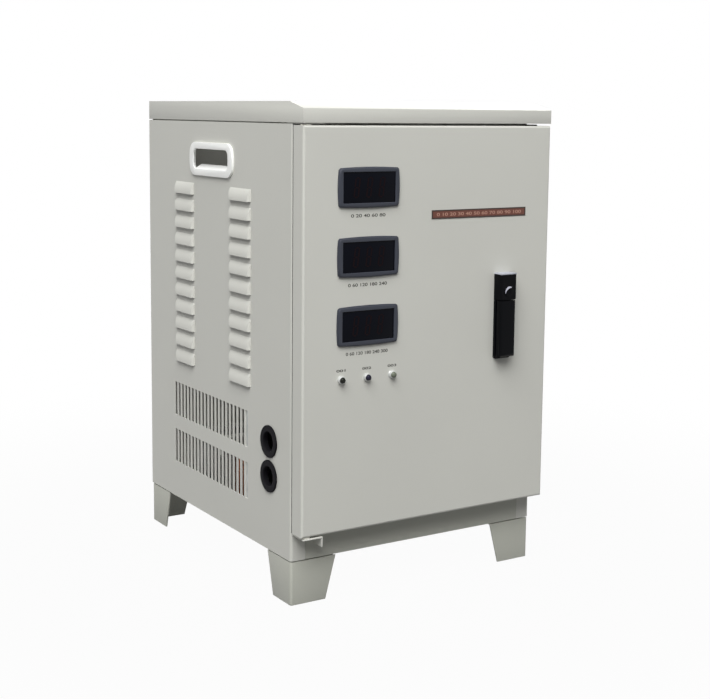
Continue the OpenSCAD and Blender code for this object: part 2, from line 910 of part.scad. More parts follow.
module door_panel() {
    skin_depth = sheet_t + 2 * over;
    color(grey_paint) difference() {
        door_block(0, 0);
        door_block(sheet_t, sheet_t);
        block([-half_w + door_lip_w, door_back_y - sheet_t - over, door_z + door_lip_w],
            [half_w - door_lip_w, door_back_y + over, door_top - door_lip_w]);
        facing_front(door_front_y + sheet_t + over) linear_extrude(skin_depth) {
            for (i = [0 : 2]) {
                translate([-half_w + meter_x, meter_z(i)])
                    square([meter_body_w, meter_body_h], center = true);
                translate([lamp_x(i), door_z + lamp_z]) circle(d = lamp_stem_d);
            }
            translate([-half_w + lock_x, spindle_z]) circle(d = lock_neck_d);
        }
        for (z = [door_z - over, door_top - sheet_t - over]) translate([hinge_x, hinge_y, z])
            cylinder(d = hinge_pin_d + 2 * (bearing_gap + bush_wall), h = sheet_t + 2 * over);
    }
}

// Top-hat channel on the back of the door's skin.
module stiffener(x) {
    low = door_z + door_lip_w;
    high = door_top - door_lip_w;
    near_y = door_front_y + sheet_t;
    web_w = stiffener_w - 2 * stiffener_flange;
    translate([-half_w + x, near_y, low]) linear_extrude(high - low) {
        for (side = [-1, 1]) {
            translate([side * (web_w / 2 + stiffener_flange / 2), sheet_t / 2])
                square([stiffener_flange, sheet_t], center = true);
            translate([side * (web_w / 2 - sheet_t / 2), stiffener_d / 2])
                square([sheet_t, stiffener_d], center = true);
        }
        translate([0, stiffener_d - sheet_t / 2]) square([web_w, sheet_t], center = true);
    }
}

module door_stiffeners() {
    color(grey_paint) {
        stiffener(meter_x + meter_body_w / 2 + stiffener_gap + stiffener_w / 2);
        stiffener(lock_x - lock_nut_d / 2 - stiffener_gap - stiffener_w / 2);
    }
}

module door_gasket() {
    outer_in = hinge_edge + 1;
    color(black_rubber) translate([0, front_y - run, 0]) rotate([90, 0, 0]) linear_extrude(door_gap - run)
        difference() {
            translate([-half_w + outer_in, door_z + outer_in])
                square([2 * (half_w - outer_in), door_top - door_z - 2 * outer_in]);
            translate([-half_w + outer_in + gasket_w, door_z + outer_in + gasket_w])
                square([2 * (half_w - outer_in - gasket_w), door_top - door_z - 2 * (outer_in + gasket_w)]);
        }
}

// Meters

module meter(i) {
    color(bezel_grey) translate([-half_w + meter_x, 0, meter_z(i)]) difference() {
        union() {
            facing_front(door_front_y) {
                linear_extrude(meter_proud - meter_step)
                    bulged_rect(meter_w, meter_h, meter_corner_r, meter_bulge);
                linear_extrude(meter_proud) bulged_rect(meter_w - 2 * meter_step,
                    meter_h - 2 * meter_step, meter_corner_r, meter_bulge);
            }
            block([-meter_body_w / 2, door_front_y, -meter_body_h / 2],
                [meter_body_w / 2, door_front_y + meter_body_d, meter_body_h / 2]);
        }
        block([-window_w / 2, door_front_y - meter_proud - over, -window_h / 2],
            [window_w / 2, window_back_y + window_seat_t, window_h / 2]);
    }
}

window_back_y = door_front_y - meter_proud + window_set + window_t;

module meter_upper() {
    meter(0);
}

module meter_middle() {
    meter(1);
}

module meter_lower() {
    meter(2);
}

module meter_windows() {
    color([0.05, 0.03, 0.04]) for (i = [0 : 2]) translate([-half_w + meter_x, 0, meter_z(i)])
        block([-window_w / 2, window_back_y - window_t, -window_h / 2],
            [window_w / 2, window_back_y, window_h / 2]);
}

// Indicator lamps

module lamp_bezels() {
    rim_r = lamp_d / 2;
    color([0.8, 0.8, 0.8]) for (i = [0 : 2]) translate([lamp_x(i), 0, door_z + lamp_z]) {
        facing_front(door_front_y) rotate_extrude() difference() {
            intersection() {
                square([rim_r, lamp_dome]);
                translate([0, lamp_dome - rim_r]) circle(rim_r + lamp_dome / 4);
            }
            translate([0, -over]) square([lamp_lens_d / 2, lamp_dome + 2 * over]);
        }
        translate([0, door_front_y, 0]) rotate([-90, 0, 0]) difference() {
            union() {
                cylinder(d = lamp_stem_d, h = lamp_stem_len);
                translate([0, 0, sheet_t]) cylinder(d = lamp_nut_d, h = lamp_nut_t, $fn = 6);
            }
            translate([0, 0, -over]) cylinder(d = lamp_lens_d, h = lamp_dome + over);
        }
    }
}

module lamp_lenses() {
    lens_r = lamp_lens_d / 2;
    color([0.3, 0.35, 0.3]) for (i = [0 : 2]) translate([lamp_x(i), door_front_y, door_z + lamp_z])
        rotate([90, 0, 0]) {
            translate([0, 0, -lamp_dome]) cylinder(r = lens_r, h = 2 * lamp_dome - lens_r / 2);
            translate([0, 0, lamp_dome - lens_r / 2]) intersection() {
                sphere(lens_r);
                cylinder(r = lens_r, h = lens_r);
            }
        }
}

module printed_strip() {
    color([0.40, 0.16, 0.10]) block([-half_w + strip_x, door_front_y - strip_t, door_top - strip_drop],
        [-half_w + strip_x + strip_w, door_front_y, door_top - strip_drop + strip_h]);
}

// Lock: a base with a push button, and a handle that tips out and turns a cam

lock_z = door_z + lock_low_z;
lock_top_z = lock_z + lock_h;
lock_face_y = door_front_y - lock_proud;
lock_plate_y = door_front_y - lock_plate_t;
lock_handle_t = lock_proud - lock_plate_t - lock_handle_gap;
lock_pin_y = lock_face_y + lock_handle_t / 2;
spindle_z = lock_z + lock_end_gap + lock_handle_t / 2;
spindle_seat_d = spindle_d + 2 * bearing_gap;
lock_neck_len = 2 * sheet_t + lock_nut_t;
lock_handle_top = lock_top_z - lock_head_h - lock_head_gap;
cam_y = front_y + lip_d + cam_clear;

module at_lock_x() {
    translate([-half_w + lock_x, 0, 0]) children();
}

module lock_base() {
    color(black_plastic) at_lock_x() difference() {
        union() {
            facing_front(door_front_y) translate([0, (lock_z + lock_top_z) / 2]) linear_extrude(lock_plate_t)
                round_rect(lock_w, lock_h, lock_round_r);
            intersection() {
                translate([0, 0, lock_top_z - lock_head_h]) linear_extrude(lock_head_h)
                    translate([0, (door_front_y + lock_face_y) / 2]) {
                        translate([-lock_w / 2, 0]) square([lock_w, lock_proud / 2]);
                        round_rect(lock_w, lock_proud, lock_round_r);
                    }
                facing_front(door_front_y) translate([0, (lock_z + lock_top_z) / 2])
                    linear_extrude(lock_proud) round_rect(lock_w, lock_h, lock_round_r);
            }
            translate([0, door_front_y - over, spindle_z]) rotate([-90, 0, 0])
                cylinder(d = lock_neck_d, h = lock_neck_len + over);
        }
        translate([0, lock_face_y - over, door_z + button_z]) rotate([-90, 0, 0])
            cylinder(d = button_d + 2 * bearing_gap, h = over + button_len + button_travel + run);
        translate([0, door_front_y + lock_neck_len + over, spindle_z]) rotate([90, 0, 0])
            cylinder(d = spindle_seat_d, h = lock_neck_len + lock_plate_t + 2 * over);
    }
}

module lock_button() {
    color(black_plastic) at_lock_x() translate([0, lock_face_y - button_proud, door_z + button_z])
        rotate([-90, 0, 0]) difference() {
            cylinder(d = button_d, h = button_proud + button_len);
            translate([-keyway_w / 2, -keyway_len / 2, -over])
                cube([keyway_w, keyway_len, keyway_depth + over]);
        }
}

module lock_nut() {
    near_y = door_front_y + sheet_t;
    color(zinc) at_lock_x() translate([0, near_y, spindle_z]) rotate([-90, 0, 0]) difference() {
        cylinder(d = lock_nut_d, h = lock_nut_t, $fn = 6);
        translate([0, 0, -over]) cylinder(d = lock_neck_d, h = lock_nut_t + 2 * over);
    }
}

module lock_spindle() {
    head_r = lock_handle_t / 2 - lock_skin - 2 * run;
    tail_y = cam_y + cam_t + spindle_tail;
    color(zinc) at_lock_x() difference() {
        union() {
            translate([0, lock_plate_y - run, spindle_z]) rotate([-90, 0, 0])
                cylinder(d = spindle_d, h = tail_y - lock_plate_y + run);
            translate([-spindle_head_w / 2, lock_pin_y, spindle_z]) rotate([0, 90, 0])
                cylinder(r = head_r, h = spindle_head_w);
            block([-spindle_head_w / 2, lock_pin_y, spindle_z - head_r],
                [spindle_head_w / 2, lock_plate_y, spindle_z + head_r]);
        }
        translate([-lock_w / 2, lock_pin_y, spindle_z]) rotate([0, 90, 0])
            cylinder(d = lock_pin_d + 2 * bearing_gap, h = lock_w);
    }
}

// Cam in its released place, upright; a quarter turn puts it behind the frame.
module lock_cam() {
    reach = cabinet_w - lock_x - frame_w + cam_reach - cam_w / 2;
    color(zinc) at_lock_x() translate([0, cam_y + cam_t, spindle_z]) rotate([90, 0, 0]) difference() {
        linear_extrude(cam_t) {
            circle(d = cam_w);
            translate([-cam_w / 2, 0]) square([cam_w, reach]);
            translate([0, reach]) circle(d = cam_w);
        }
        translate([0, 0, -over]) cylinder(d = spindle_d, h = cam_t + 2 * over);
    }
}

module lock_handle() {
    slot_w_half = spindle_head_w / 2 + run;
    end_r = lock_handle_t / 2;
    head_room = end_r - lock_skin;
    neck_room = head_room - run / 2;
    half_handle = lock_handle_w / 2;
    color(black_plastic) at_lock_x() difference() {
        intersection() {
            translate([0, lock_pin_y, spindle_z - end_r])
                linear_extrude(lock_handle_top - spindle_z + end_r) {
                    round_rect(lock_handle_w, lock_handle_t, lock_round_r);
                    translate([-half_handle, 0]) square([lock_handle_w, end_r]);
                }
            translate([-half_handle, 0, 0]) rotate([90, 0, 90]) linear_extrude(lock_handle_w) {
                translate([lock_pin_y, spindle_z]) circle(end_r);
                translate([lock_pin_y - end_r, spindle_z])
                    square([lock_handle_t, lock_handle_top - spindle_z]);
            }
        }
        translate([-slot_w_half, lock_pin_y, spindle_z]) rotate([90, 0, 90])
            linear_extrude(2 * slot_w_half) {
                circle(head_room);
                polygon([
                    [0, neck_room],
                    [lock_handle_t, neck_room],
                    [lock_handle_t, -2 * lock_handle_t],
                    turned([lock_handle_t, -neck_room], -lock_tilt_deg),
                    turned([0, -neck_room], -lock_tilt_deg)
                ]);
            }
        translate([-half_handle - over, lock_pin_y, spindle_z]) rotate([0, 90, 0])
            cylinder(d = lock_pin_d, h = lock_handle_w + 2 * over);
    }
}

module lock_handle_pin() {
    color(zinc) at_lock_x() translate([-lock_handle_w / 2, lock_pin_y, spindle_z]) rotate([0, 90, 0])
        cylinder(d = lock_pin_d, h = lock_handle_w);
}

// Mounting plate across the cabinet, and what it carries

plate_front_y = front_y + plate_y;
plate_z = body_z + plate_low;
plate_top = body_top - plate_drop;

// Cutter for a rounded slot through the plate.
module cable_slot(x, z, w) {
    translate([x, plate_front_y + plate_t + over, z]) rotate([90, 0, 0])
        linear_extrude(plate_t + 2 * over) round_rect(w, frame_w, frame_w / 3);
}

module mounting_plate() {
    side_x = half_w - sheet_t;
    color(zinc) difference() {
        union() {
            block([-side_x, plate_front_y, plate_z], [side_x, plate_front_y + plate_t, plate_top]);
            for (side = [-1, 1]) translate([side * (side_x - plate_t / 2), 0, 0])
                block([-plate_t / 2, plate_front_y, plate_z],
                    [plate_t / 2, plate_front_y + plate_side, plate_top]);
        }
        for (side = [-1, 1]) cable_slot(side * half_w / 2, plate_z + frame_w, 2 * frame_w);
        cable_slot(board_x, body_z + rail_z - rail_w - frame_w, 4 * frame_w);
        translate([ct_x, plate_front_y + plate_t + over, body_z + ct_z]) rotate([90, 0, 0])
            cylinder(d = ct_bore, h = plate_t + 2 * over);
    }
}

board_z = body_top - board_drop;
board_back_y = plate_front_y - board_gap;
board_front_y = board_back_y - board_t;

module control_board() {
    color(board_green) block([board_x - board_w / 2, board_front_y, board_z - board_h / 2],
        [board_x + board_w / 2, board_back_y, board_z + board_h / 2]);
}

// Sizes of the board's parts against its width
relay_w_share = 0.08;
relay_d_share = 0.1;
relay_h_share = 0.11;
relay_pitch_share = 0.136;
cap_d_share = 0.08;
cap_h_share = 0.13;
cap_pitch_share = 0.12;
supply_w_share = 0.21;
supply_d_share = 0.165;
header_w_share = 0.35;
header_d_share = 0.05;

// A housing on the board's front, centred at the offset given from the board's middle.
module on_board(x, z, w, d, h) {
    translate([board_x + x, board_front_y, board_z + z]) block([-w / 2, -d, -h / 2], [w / 2, 0, h / 2]);
}

// Relay housings, capacitors, a small transformer, a pin header and the four standoffs behind the board.
module board_components() {
    cap_d = cap_d_share * board_w;
    header_h = header_d_share * board_w;
    relay_w = relay_w_share * board_w;
    supply_w = supply_w_share * board_w;
    color([0.25, 0.27, 0.32]) {
        for (i = [0 : 2])
            on_board(1.2 * relay_w - board_w / 2 + i * relay_pitch_share * board_w, board_h / 4,
                relay_w, relay_d_share * board_w, relay_h_share * board_w);
        for (i = [0, 1])
            translate([
                board_x + board_w / 2 - cap_d - i * cap_pitch_share * board_w,
                board_front_y,
                board_z + board_h / 4
            ]) rotate([90, 0, 0]) cylinder(d = cap_d, h = cap_h_share * board_w);
        on_board(board_w / 2 - supply_w, -board_h / 5, supply_w, supply_d_share * board_w, supply_w * 4 / 5);
        on_board(-board_w / 6, 1.2 * header_h - board_h / 2,
            header_w_share * board_w, header_h, header_h);
        for (x = [-1, 1], z = [-1, 1])
            translate([
                board_x + x * (board_w / 2 - standoff_in),
                plate_front_y,
                board_z + z * (board_h / 2 - standoff_in)
            ]) rotate([90, 0, 0]) cylinder(d = standoff_d, h = board_gap);
    }
}

rail_mid_z = body_z + rail_z;
rail_front_y = plate_front_y - rail_t;

module din_rail() {
    web_h = rail_w - 2 * rail_lip;
    color(zinc) translate([rail_x - rail_len / 2, plate_front_y, rail_mid_z])
        rotate([90, 0, 90]) linear_extrude(rail_len) {
            translate([-rail_sheet, -web_h / 2]) square([rail_sheet, web_h]);
            for (side = [-1, 1]) {
                translate([-rail_t, side * (web_h / 2 - rail_sheet / 2) - rail_sheet / 2])
                    square([rail_t, rail_sheet]);
                translate([-rail_t, side * (web_h / 2 + rail_lip / 2) - (rail_lip + rail_sheet) / 2])
                    square([rail_sheet, rail_lip + rail_sheet]);
            }
        }
}

module contactor() {
    step_y = contactor_d / 3 - contactor_d;
    pad = contactor_w / 10;
    pad_t = contactor_d / 35;
    color([0.82, 0.82, 0.78]) translate([contactor_x, rail_front_y, rail_mid_z]) {
        block([-contactor_w / 2, step_y, -contactor_h / 2], [contactor_w / 2, 0, contactor_h / 2]);
        block([-contactor_w / 2, -contactor_d, -contactor_h / 4], [contactor_w / 2, 0, contactor_h / 4]);
        for (side = [-1, 1], i = [-1 : 1])
            translate([i * 3 * pad, step_y, side * contactor_h * 3 / 8])
                block([-pad, -pad_t, -pad], [pad, 0, pad]);
    }
}

breaker_face_y = rail_front_y - breaker_d;
toggle_r = breaker_nose_d;
toggle_y = breaker_face_y + toggle_r / 2;

module circuit_breaker() {
    color([0.88, 0.88, 0.85]) translate([breaker_x, 0, rail_mid_z]) difference() {
        union() {
            block([-breaker_w / 2, breaker_face_y, -breaker_h / 2],
                [breaker_w / 2, rail_front_y, breaker_h / 2]);
            block([-breaker_w / 2, breaker_face_y - breaker_nose_d, -breaker_nose_h / 2],
                [breaker_w / 2, breaker_face_y, breaker_nose_h / 2]);
        }
        translate([-breaker_w / 2 + sheet_t, toggle_y, 0]) rotate([0, 90, 0])
            cylinder(r = toggle_r + run, h = breaker_w - 2 * sheet_t);
        block([-breaker_w / 2 + sheet_t, breaker_face_y - breaker_nose_d - over, -toggle_r - run],
            [breaker_w / 2 - sheet_t, toggle_y, toggle_r + run]);
        translate([-breaker_w / 2 - over, toggle_y, 0]) rotate([0, 90, 0])
            cylinder(d = toggle_pin_d + 2 * bearing_gap, h = breaker_w + 2 * over);
    }
}

module breaker_toggle() {
    barrel_w = breaker_w - 2 * sheet_t - 2 * run;
    lever_len = 2 * toggle_r + toggle_set;
    color(black_plastic) translate([breaker_x, toggle_y, rail_mid_z]) {
        translate([-barrel_w / 2, 0, 0]) rotate([0, 90, 0]) cylinder(r = toggle_r, h = barrel_w);
        translate([-breaker_w / 2, 0, 0]) rotate([0, 90, 0]) cylinder(d = toggle_pin_d, h = breaker_w);
        rotate([-toggle_deg, 0, 0]) translate([over - barrel_w / 2, -lever_len, -sheet_t])
            cube([barrel_w - 2 * over, lever_len, 2 * sheet_t]);
    }
}

module current_transformer() {
    color(black_plastic) translate([ct_x, plate_front_y, body_z + ct_z]) difference() {
        union() {
            rotate([90, 0, 0]) cylinder(d = ct_d, h = ct_t);
            block([-ct_d / 2, -ct_t, -ct_d / 2 - ct_foot_h], [ct_d / 2, 0, -ct_d / 4]);
        }
        translate([0, over, 0]) rotate([90, 0, 0]) cylinder(d = ct_bore, h = ct_t + 2 * over);
    }
}

module terminal_block() {
    block_w = terminal_poles * terminal_pitch;
    color([0.10, 0.10, 0.11]) translate([terminal_x, plate_front_y, body_z + terminal_z]) {
        block([-block_w / 2, -terminal_d / 2, -terminal_h / 2], [block_w / 2, 0, terminal_h / 2]);
        for (i = [0 : terminal_poles])
            translate([-block_w / 2 + i * (block_w - sheet_t) / terminal_poles, 0, 0])
                block([0, -terminal_d, -terminal_h / 2], [sheet_t, 0, terminal_h / 2]);
        for (i = [0 : terminal_poles - 1], side = [-1, 1])
            translate([-block_w / 2 + (i + 0.5) * terminal_pitch, -terminal_d / 2, side * terminal_h / 4])
                rotate([90, 0, 0]) cylinder(d = bolt_d, h = terminal_d / 4);
    }
}

module earth_stud() {
    color([0.78, 0.62, 0.28]) translate([stud_x, plate_front_y, body_z + stud_z]) rotate([90, 0, 0]) {
        cylinder(d = bolt_d, h = stud_len);
        cylinder(d = bolt_head_d, h = bolt_nut_t, $fn = 6);
        translate([0, 0, bolt_nut_t + sheet_t]) cylinder(d = bolt_head_d, h = bolt_nut_t, $fn = 6);
        translate([0, 0, bolt_nut_t]) cylinder(d = bolt_head_d + 2 * sheet_t, h = sheet_t);
    }
}

// Compensation transformer on the tray

transformer_x = -half_w + sheet_t + transformer_side_gap + core_w / 2;
transformer_z = tray_z + clamp_t;

module at_transformer() {
    translate([transformer_x, front_y + transformer_y, transformer_z]) children();
}

window_gap_w = (core_w - 4 * core_leg) / 2;
window_gap_h = core_h - 2 * core_leg;

module transformer_core() {
    color(core_steel) at_transformer() translate([0, core_stack / 2, core_h / 2]) rotate([90, 0, 0])
        linear_extrude(core_stack) difference() {
            square([core_w, core_h], center = true);
            for (side = [-1, 1]) translate([side * (core_leg + window_gap_w / 2), 0])
                square([window_gap_w, window_gap_h], center = true);
        }
}

module transformer_coil() {
    coil_w = 2 * (core_leg + window_gap_w);
    color(copper) at_transformer() translate([0, 0, core_leg]) linear_extrude(window_gap_h) difference() {
        round_rect(coil_w, core_stack + 2 * coil_over, coil_over / 2);
        square([2 * core_leg, core_stack], center = true);
    }
}

module transformer_clamps() {
    color(zinc) at_transformer() for (side = [-1, 1]) mirror([0, side > 0 ? 1 : 0, 0])
        translate([0, core_stack / 2, 0]) {
            block([-core_w / 2, 0, -clamp_t], [core_w / 2, clamp_t, core_leg]);
            block([-core_w / 2, 0, -clamp_t], [core_w / 2, clamp_foot, 0]);
            block([-core_w / 2, 0, core_h - core_leg], [core_w / 2, clamp_t, core_h]);
            block([-core_w / 2, -clamp_w / 2, core_h], [core_w / 2, clamp_t, core_h + clamp_t]);
            for (x = [-1, 1]) translate([x * (core_w / 2 - core_leg / 2), 0, 0])
                block([-core_leg / 4, 0, 0], [core_leg / 4, clamp_t, core_h]);
        }
}

// Regulator: two ganged ring windings swept by brush arms on one shaft

plate_low_z = tray_z + spacer_low;
coil_low_z = plate_low_z + support_plate_t;
plate_mid_z = coil_low_z + coil_h + arm_room;
coil_high_z = plate_mid_z + support_plate_t;
plate_high_z = coil_high_z + coil_h + arm_room;
plate_high_top = plate_high_z + support_plate_t;
gear_z = plate_high_top + gear_lift;
gear_centres = gear_module * (gear_teeth + pinion_teeth) / 2;

module at_regulator() {
    translate([regulator_x, front_y + regulator_y, 0]) children();
}

module at_tie_rods() {
    at_regulator() for (x = [-1, 1], y = [-1, 1]) translate([x * tie_rod_out, y * tie_rod_out, 0]) children();
}

// Involute gear outline, its first tooth centred on the direction given.
function involute(base_r, turn) =
    [base_r * (cos(turn) + turn * PI / 180 * sin(turn)), base_r * (sin(turn) - turn * PI / 180 * cos(turn))];
function turned(p, a) = [p[0] * cos(a) - p[1] * sin(a), p[0] * sin(a) + p[1] * cos(a)];

module gear_outline(teeth, start) {
    pitch_r = gear_module * teeth / 2;
    base_r = pitch_r * cos(pressure_deg);
    tip_r = pitch_r + gear_module;
    root_r = pitch_r - 1.25 * gear_module;
    tip_turn = sqrt(pow(tip_r / base_r, 2) - 1) * 180 / PI;
    low_turn = root_r > base_r ? sqrt(pow(root_r / base_r, 2) - 1) * 180 / PI : 0;
    pitch_roll = tan(pressure_deg) * 180 / PI - pressure_deg;
    half_tooth = 90 / teeth + pitch_roll - gear_backlash / pitch_r * 90 / PI;
    steps = 3;
    polygon([
        for (i = [0 : teeth - 1]) let (a = start + i * 360 / teeth) each [
            turned([root_r, 0], a - 180 / teeth),
            turned([root_r, 0], a - half_tooth),
            for (s = [0 : steps])
                let (p = involute(base_r, low_turn + (tip_turn - low_turn) * s / steps))
                turned(p, a - half_tooth),
            for (s = [steps : -1 : 0])
                let (p = involute(base_r, low_turn + (tip_turn - low_turn) * s / steps))
                turned([p[0], -p[1]], a + half_tooth),
            turned([root_r, 0], a + half_tooth)
        ]
    ]);
}

module support_plate(z, hole_d) {
    translate([0, 0, z]) linear_extrude(support_plate_t) difference() {
        round_rect(support_plate_w, support_plate_w, tie_rod_d);
        circle(d = hole_d);
        for (x = [-1, 1], y = [-1, 1]) translate([x * tie_rod_out, y * tie_rod_out]) circle(d = tie_rod_d);
    }
}

module variac_plates() {
    color(zinc) at_regulator() {
        support_plate(plate_low_z, bearing_d);
        support_plate(plate_mid_z, arm_hub_d);
        support_plate(plate_high_z, bearing_d);
    }
}

module tie_sleeve(low, high) {
    translate([0, 0, low]) difference() {
        cylinder(d = spacer_d, h = high - low);
        translate([0, 0, -over]) cylinder(d = tie_rod_d, h = high - low + 2 * over);
    }
}

module variac_tie_rods() {
    color(zinc) at_tie_rods() {
        translate([0, 0, body_z]) cylinder(d = tie_rod_d, h = plate_high_top + bolt_nut_t + sheet_t - body_z);
        translate([0, 0, plate_high_top]) cylinder(d = bolt_head_d, h = bolt_nut_t, $fn = 6);
        tie_sleeve(tray_z, plate_low_z);
        tie_sleeve(coil_low_z, plate_mid_z);
        tie_sleeve(coil_high_z, plate_high_z);
    }
}

// Section of a ring winding, or of the core inside it when it is drawn in by the winding's wall.
module ring_section(inset, r) {
    low_r = coil_bore / 2 + inset;
    high_r = coil_d / 2 - inset;
    translate([(low_r + high_r) / 2, coil_h / 2]) round_rect(high_r - low_r, coil_h - 2 * inset, r);
}

module variac_cores() {
    color(core_steel) at_regulator() for (z = [coil_low_z, coil_high_z])
        translate([0, 0, z]) rotate_extrude() ring_section(coil_wall, sheet_t);
}

module variac_windings() {
    color(copper) at_regulator() for (z = [coil_low_z, coil_high_z]) translate([0, 0, z])
        rotate([0, 0, 90 + coil_open_deg / 2]) rotate_extrude(angle = 360 - coil_open_deg) difference() {
            ring_section(0, coil_round_r);
            ring_section(coil_wall, sheet_t);
        }
}

module bearing(z) {
    translate([0, 0, z]) difference() {
        union() {
            cylinder(d = bearing_d, h = support_plate_t);
            translate([0, 0, support_plate_t])
                cylinder(d = bearing_d + 2 * bush_wall, h = bearing_h - support_plate_t);
        }
        translate([0, 0, -over]) cylinder(d = shaft_d + 2 * bearing_gap, h = bearing_h + 2 * over);
    }
}

module variac_bearings() {
    color([0.70, 0.55, 0.30]) at_regulator() {
        bearing(plate_low_z);
        bearing(plate_high_z);
    }
}

module brush_shaft() {
    color(zinc) at_regulator() translate([0, 0, plate_low_z])
        cylinder(d = shaft_d, h = gear_z + gear_t + sheet_t - plate_low_z);
}

// Gear with a hub below it, lightening holes, and a striker pin that meets the limit switches.
module drive_gear() {
    pitch_r = gear_teeth * gear_module / 2;
    hole_r = pitch_r * 3 / 5;
    color([0.86, 0.84, 0.78]) at_regulator() difference() {
        union() {
            translate([0, 0, gear_z]) linear_extrude(gear_t) gear_outline(gear_teeth, 180 / gear_teeth - 90);
            translate([0, 0, gear_z - gear_t]) cylinder(d = gear_hub_d, h = gear_t + over);
            translate([0, -switch_r, gear_z - striker_len]) cylinder(d = striker_d, h = striker_len + over);
        }
        translate([0, 0, gear_z - gear_t - over]) cylinder(d = shaft_d, h = 2 * gear_t + 2 * over);
        for (a = [0 : 60 : 300]) rotate(a) translate([hole_r, 0, gear_z - over])
            cylinder(r = pitch_r / 7, h = gear_t + 2 * over);
    }
}

module brush_arm(coil_top) {
    track_r = coil_d / 2 - brush_track_in;
    holder_l = brush_l + 2 * brush_holder_wall;
    holder_w = brush_w + 2 * brush_holder_wall;
    holder_z = coil_top + run + sheet_t;
    translate([0, 0, holder_z]) difference() {
        union() {
            cylinder(d = arm_hub_d - 2 * sheet_t, h = arm_hub_h);
            translate([0, 0, brush_holder_h - arm_t]) block([-arm_w / 2, -track_r, 0], [arm_w / 2, 0, arm_t]);
            block([-holder_w / 2, -track_r - holder_l / 2, 0],
                [holder_w / 2, holder_l / 2 - track_r, brush_holder_h]);
        }
        translate([0, 0, -over]) cylinder(d = shaft_d, h = arm_hub_h + 2 * over);
        block([-brush_w / 2, -track_r - brush_l / 2, -over],
            [brush_w / 2, brush_l / 2 - track_r, brush_holder_h - arm_t]);
    }
}

module brush_arms() {
    color([0.55, 0.55, 0.56]) at_regulator() {
        brush_arm(coil_low_z + coil_h);
        brush_arm(coil_high_z + coil_h);
    }
}

module carbon_brushes() {
    track_r = coil_d / 2 - brush_track_in;
    color([0.16, 0.16, 0.17]) at_regulator() for (top = [coil_low_z + coil_h, coil_high_z + coil_h])
        block([-brush_w / 2, -track_r - brush_l / 2, top + run],
            [brush_w / 2, brush_l / 2 - track_r, top + run + sheet_t + brush_holder_h - arm_t]);
}

// Geared motor standing on the top plate, with two fixing ears and a bearing bore for its shaft.
module servo_motor() {
    color([0.62, 0.60, 0.52]) at_regulator() translate([0, -gear_centres, plate_high_top]) difference() {
        union() {
            cylinder(d = motor_d, h = motor_h);
            linear_extrude(motor_ear_t)
                round_rect(motor_d + 2 * motor_ear_w, motor_ear_w, motor_ear_w / 3);
        }
        translate([0, 0, motor_h - motor_bore_len])
            cylinder(d = motor_shaft_d + 2 * bearing_gap, h = motor_bore_len + over);
    }
}

module motor_pinion() {
    color(zinc) at_regulator() translate([0, -gear_centres, 0]) {
        shaft_z = plate_high_top + motor_h - motor_bore_len + run;
        translate([0, 0, shaft_z]) cylinder(d = motor_shaft_d, h = gear_z - shaft_z + over);
        translate([0, 0, gear_z]) linear_extrude(gear_t) gear_outline(pinion_teeth, 90);
    }
}

// Two switches on the top plate at the ends of the gear's travel, each with a lever towards the striker.
module limit_switches() {
    switch_h = gear_lift - switch_gap;
    color([0.12, 0.12, 0.13]) at_regulator() for (side = [-1, 1])
        rotate(90 + side * switch_turn_deg) translate([switch_r, 0, plate_high_top]) {
            block([-switch_w / 2, -switch_t / 2, 0], [switch_w / 2, switch_t / 2, switch_h]);
            translate([0, side * (switch_t / 2 + switch_lever_t / 2), switch_h / 2])
                block([-switch_w / 4, -switch_lever_t / 2, 0],
                    [switch_w / 4, switch_lever_t / 2, switch_h / 2]);
        }
}

base_tray();
side_panel_left();
side_panel_right();
rear_panel();
top_rail();
lid();
lid_gasket();
corner_feet();
carry_handle_left();
carry_handle_right();
cable_grommet_upper();
cable_grommet_lower();
cabinet_screws();
foot_bolts();
hinge_plate_lower();
hinge_plate_upper();
hinge_pins();
hinge_bushes();
door_panel();
door_stiffeners();
door_gasket();
meter_upper();
meter_middle();
meter_lower();
meter_windows();
lamp_bezels();
lamp_lenses();
printed_strip();
lock_base();
lock_nut();
lock_button();
lock_spindle();
lock_cam();
lock_handle();
lock_handle_pin();
mounting_plate();
control_board();
board_components();
din_rail();
contactor();
circuit_breaker();
breaker_toggle();
current_transformer();
terminal_block();
earth_stud();
transformer_core();
transformer_coil();
transformer_clamps();
variac_plates();
variac_tie_rods();
variac_cores();
variac_windings();
variac_bearings();
brush_shaft();
drive_gear();
brush_arms();
carbon_brushes();
servo_motor();
motor_pinion();
limit_switches();
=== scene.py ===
"""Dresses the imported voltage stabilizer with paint, plastics, trim and printed marks, and sets its stage."""

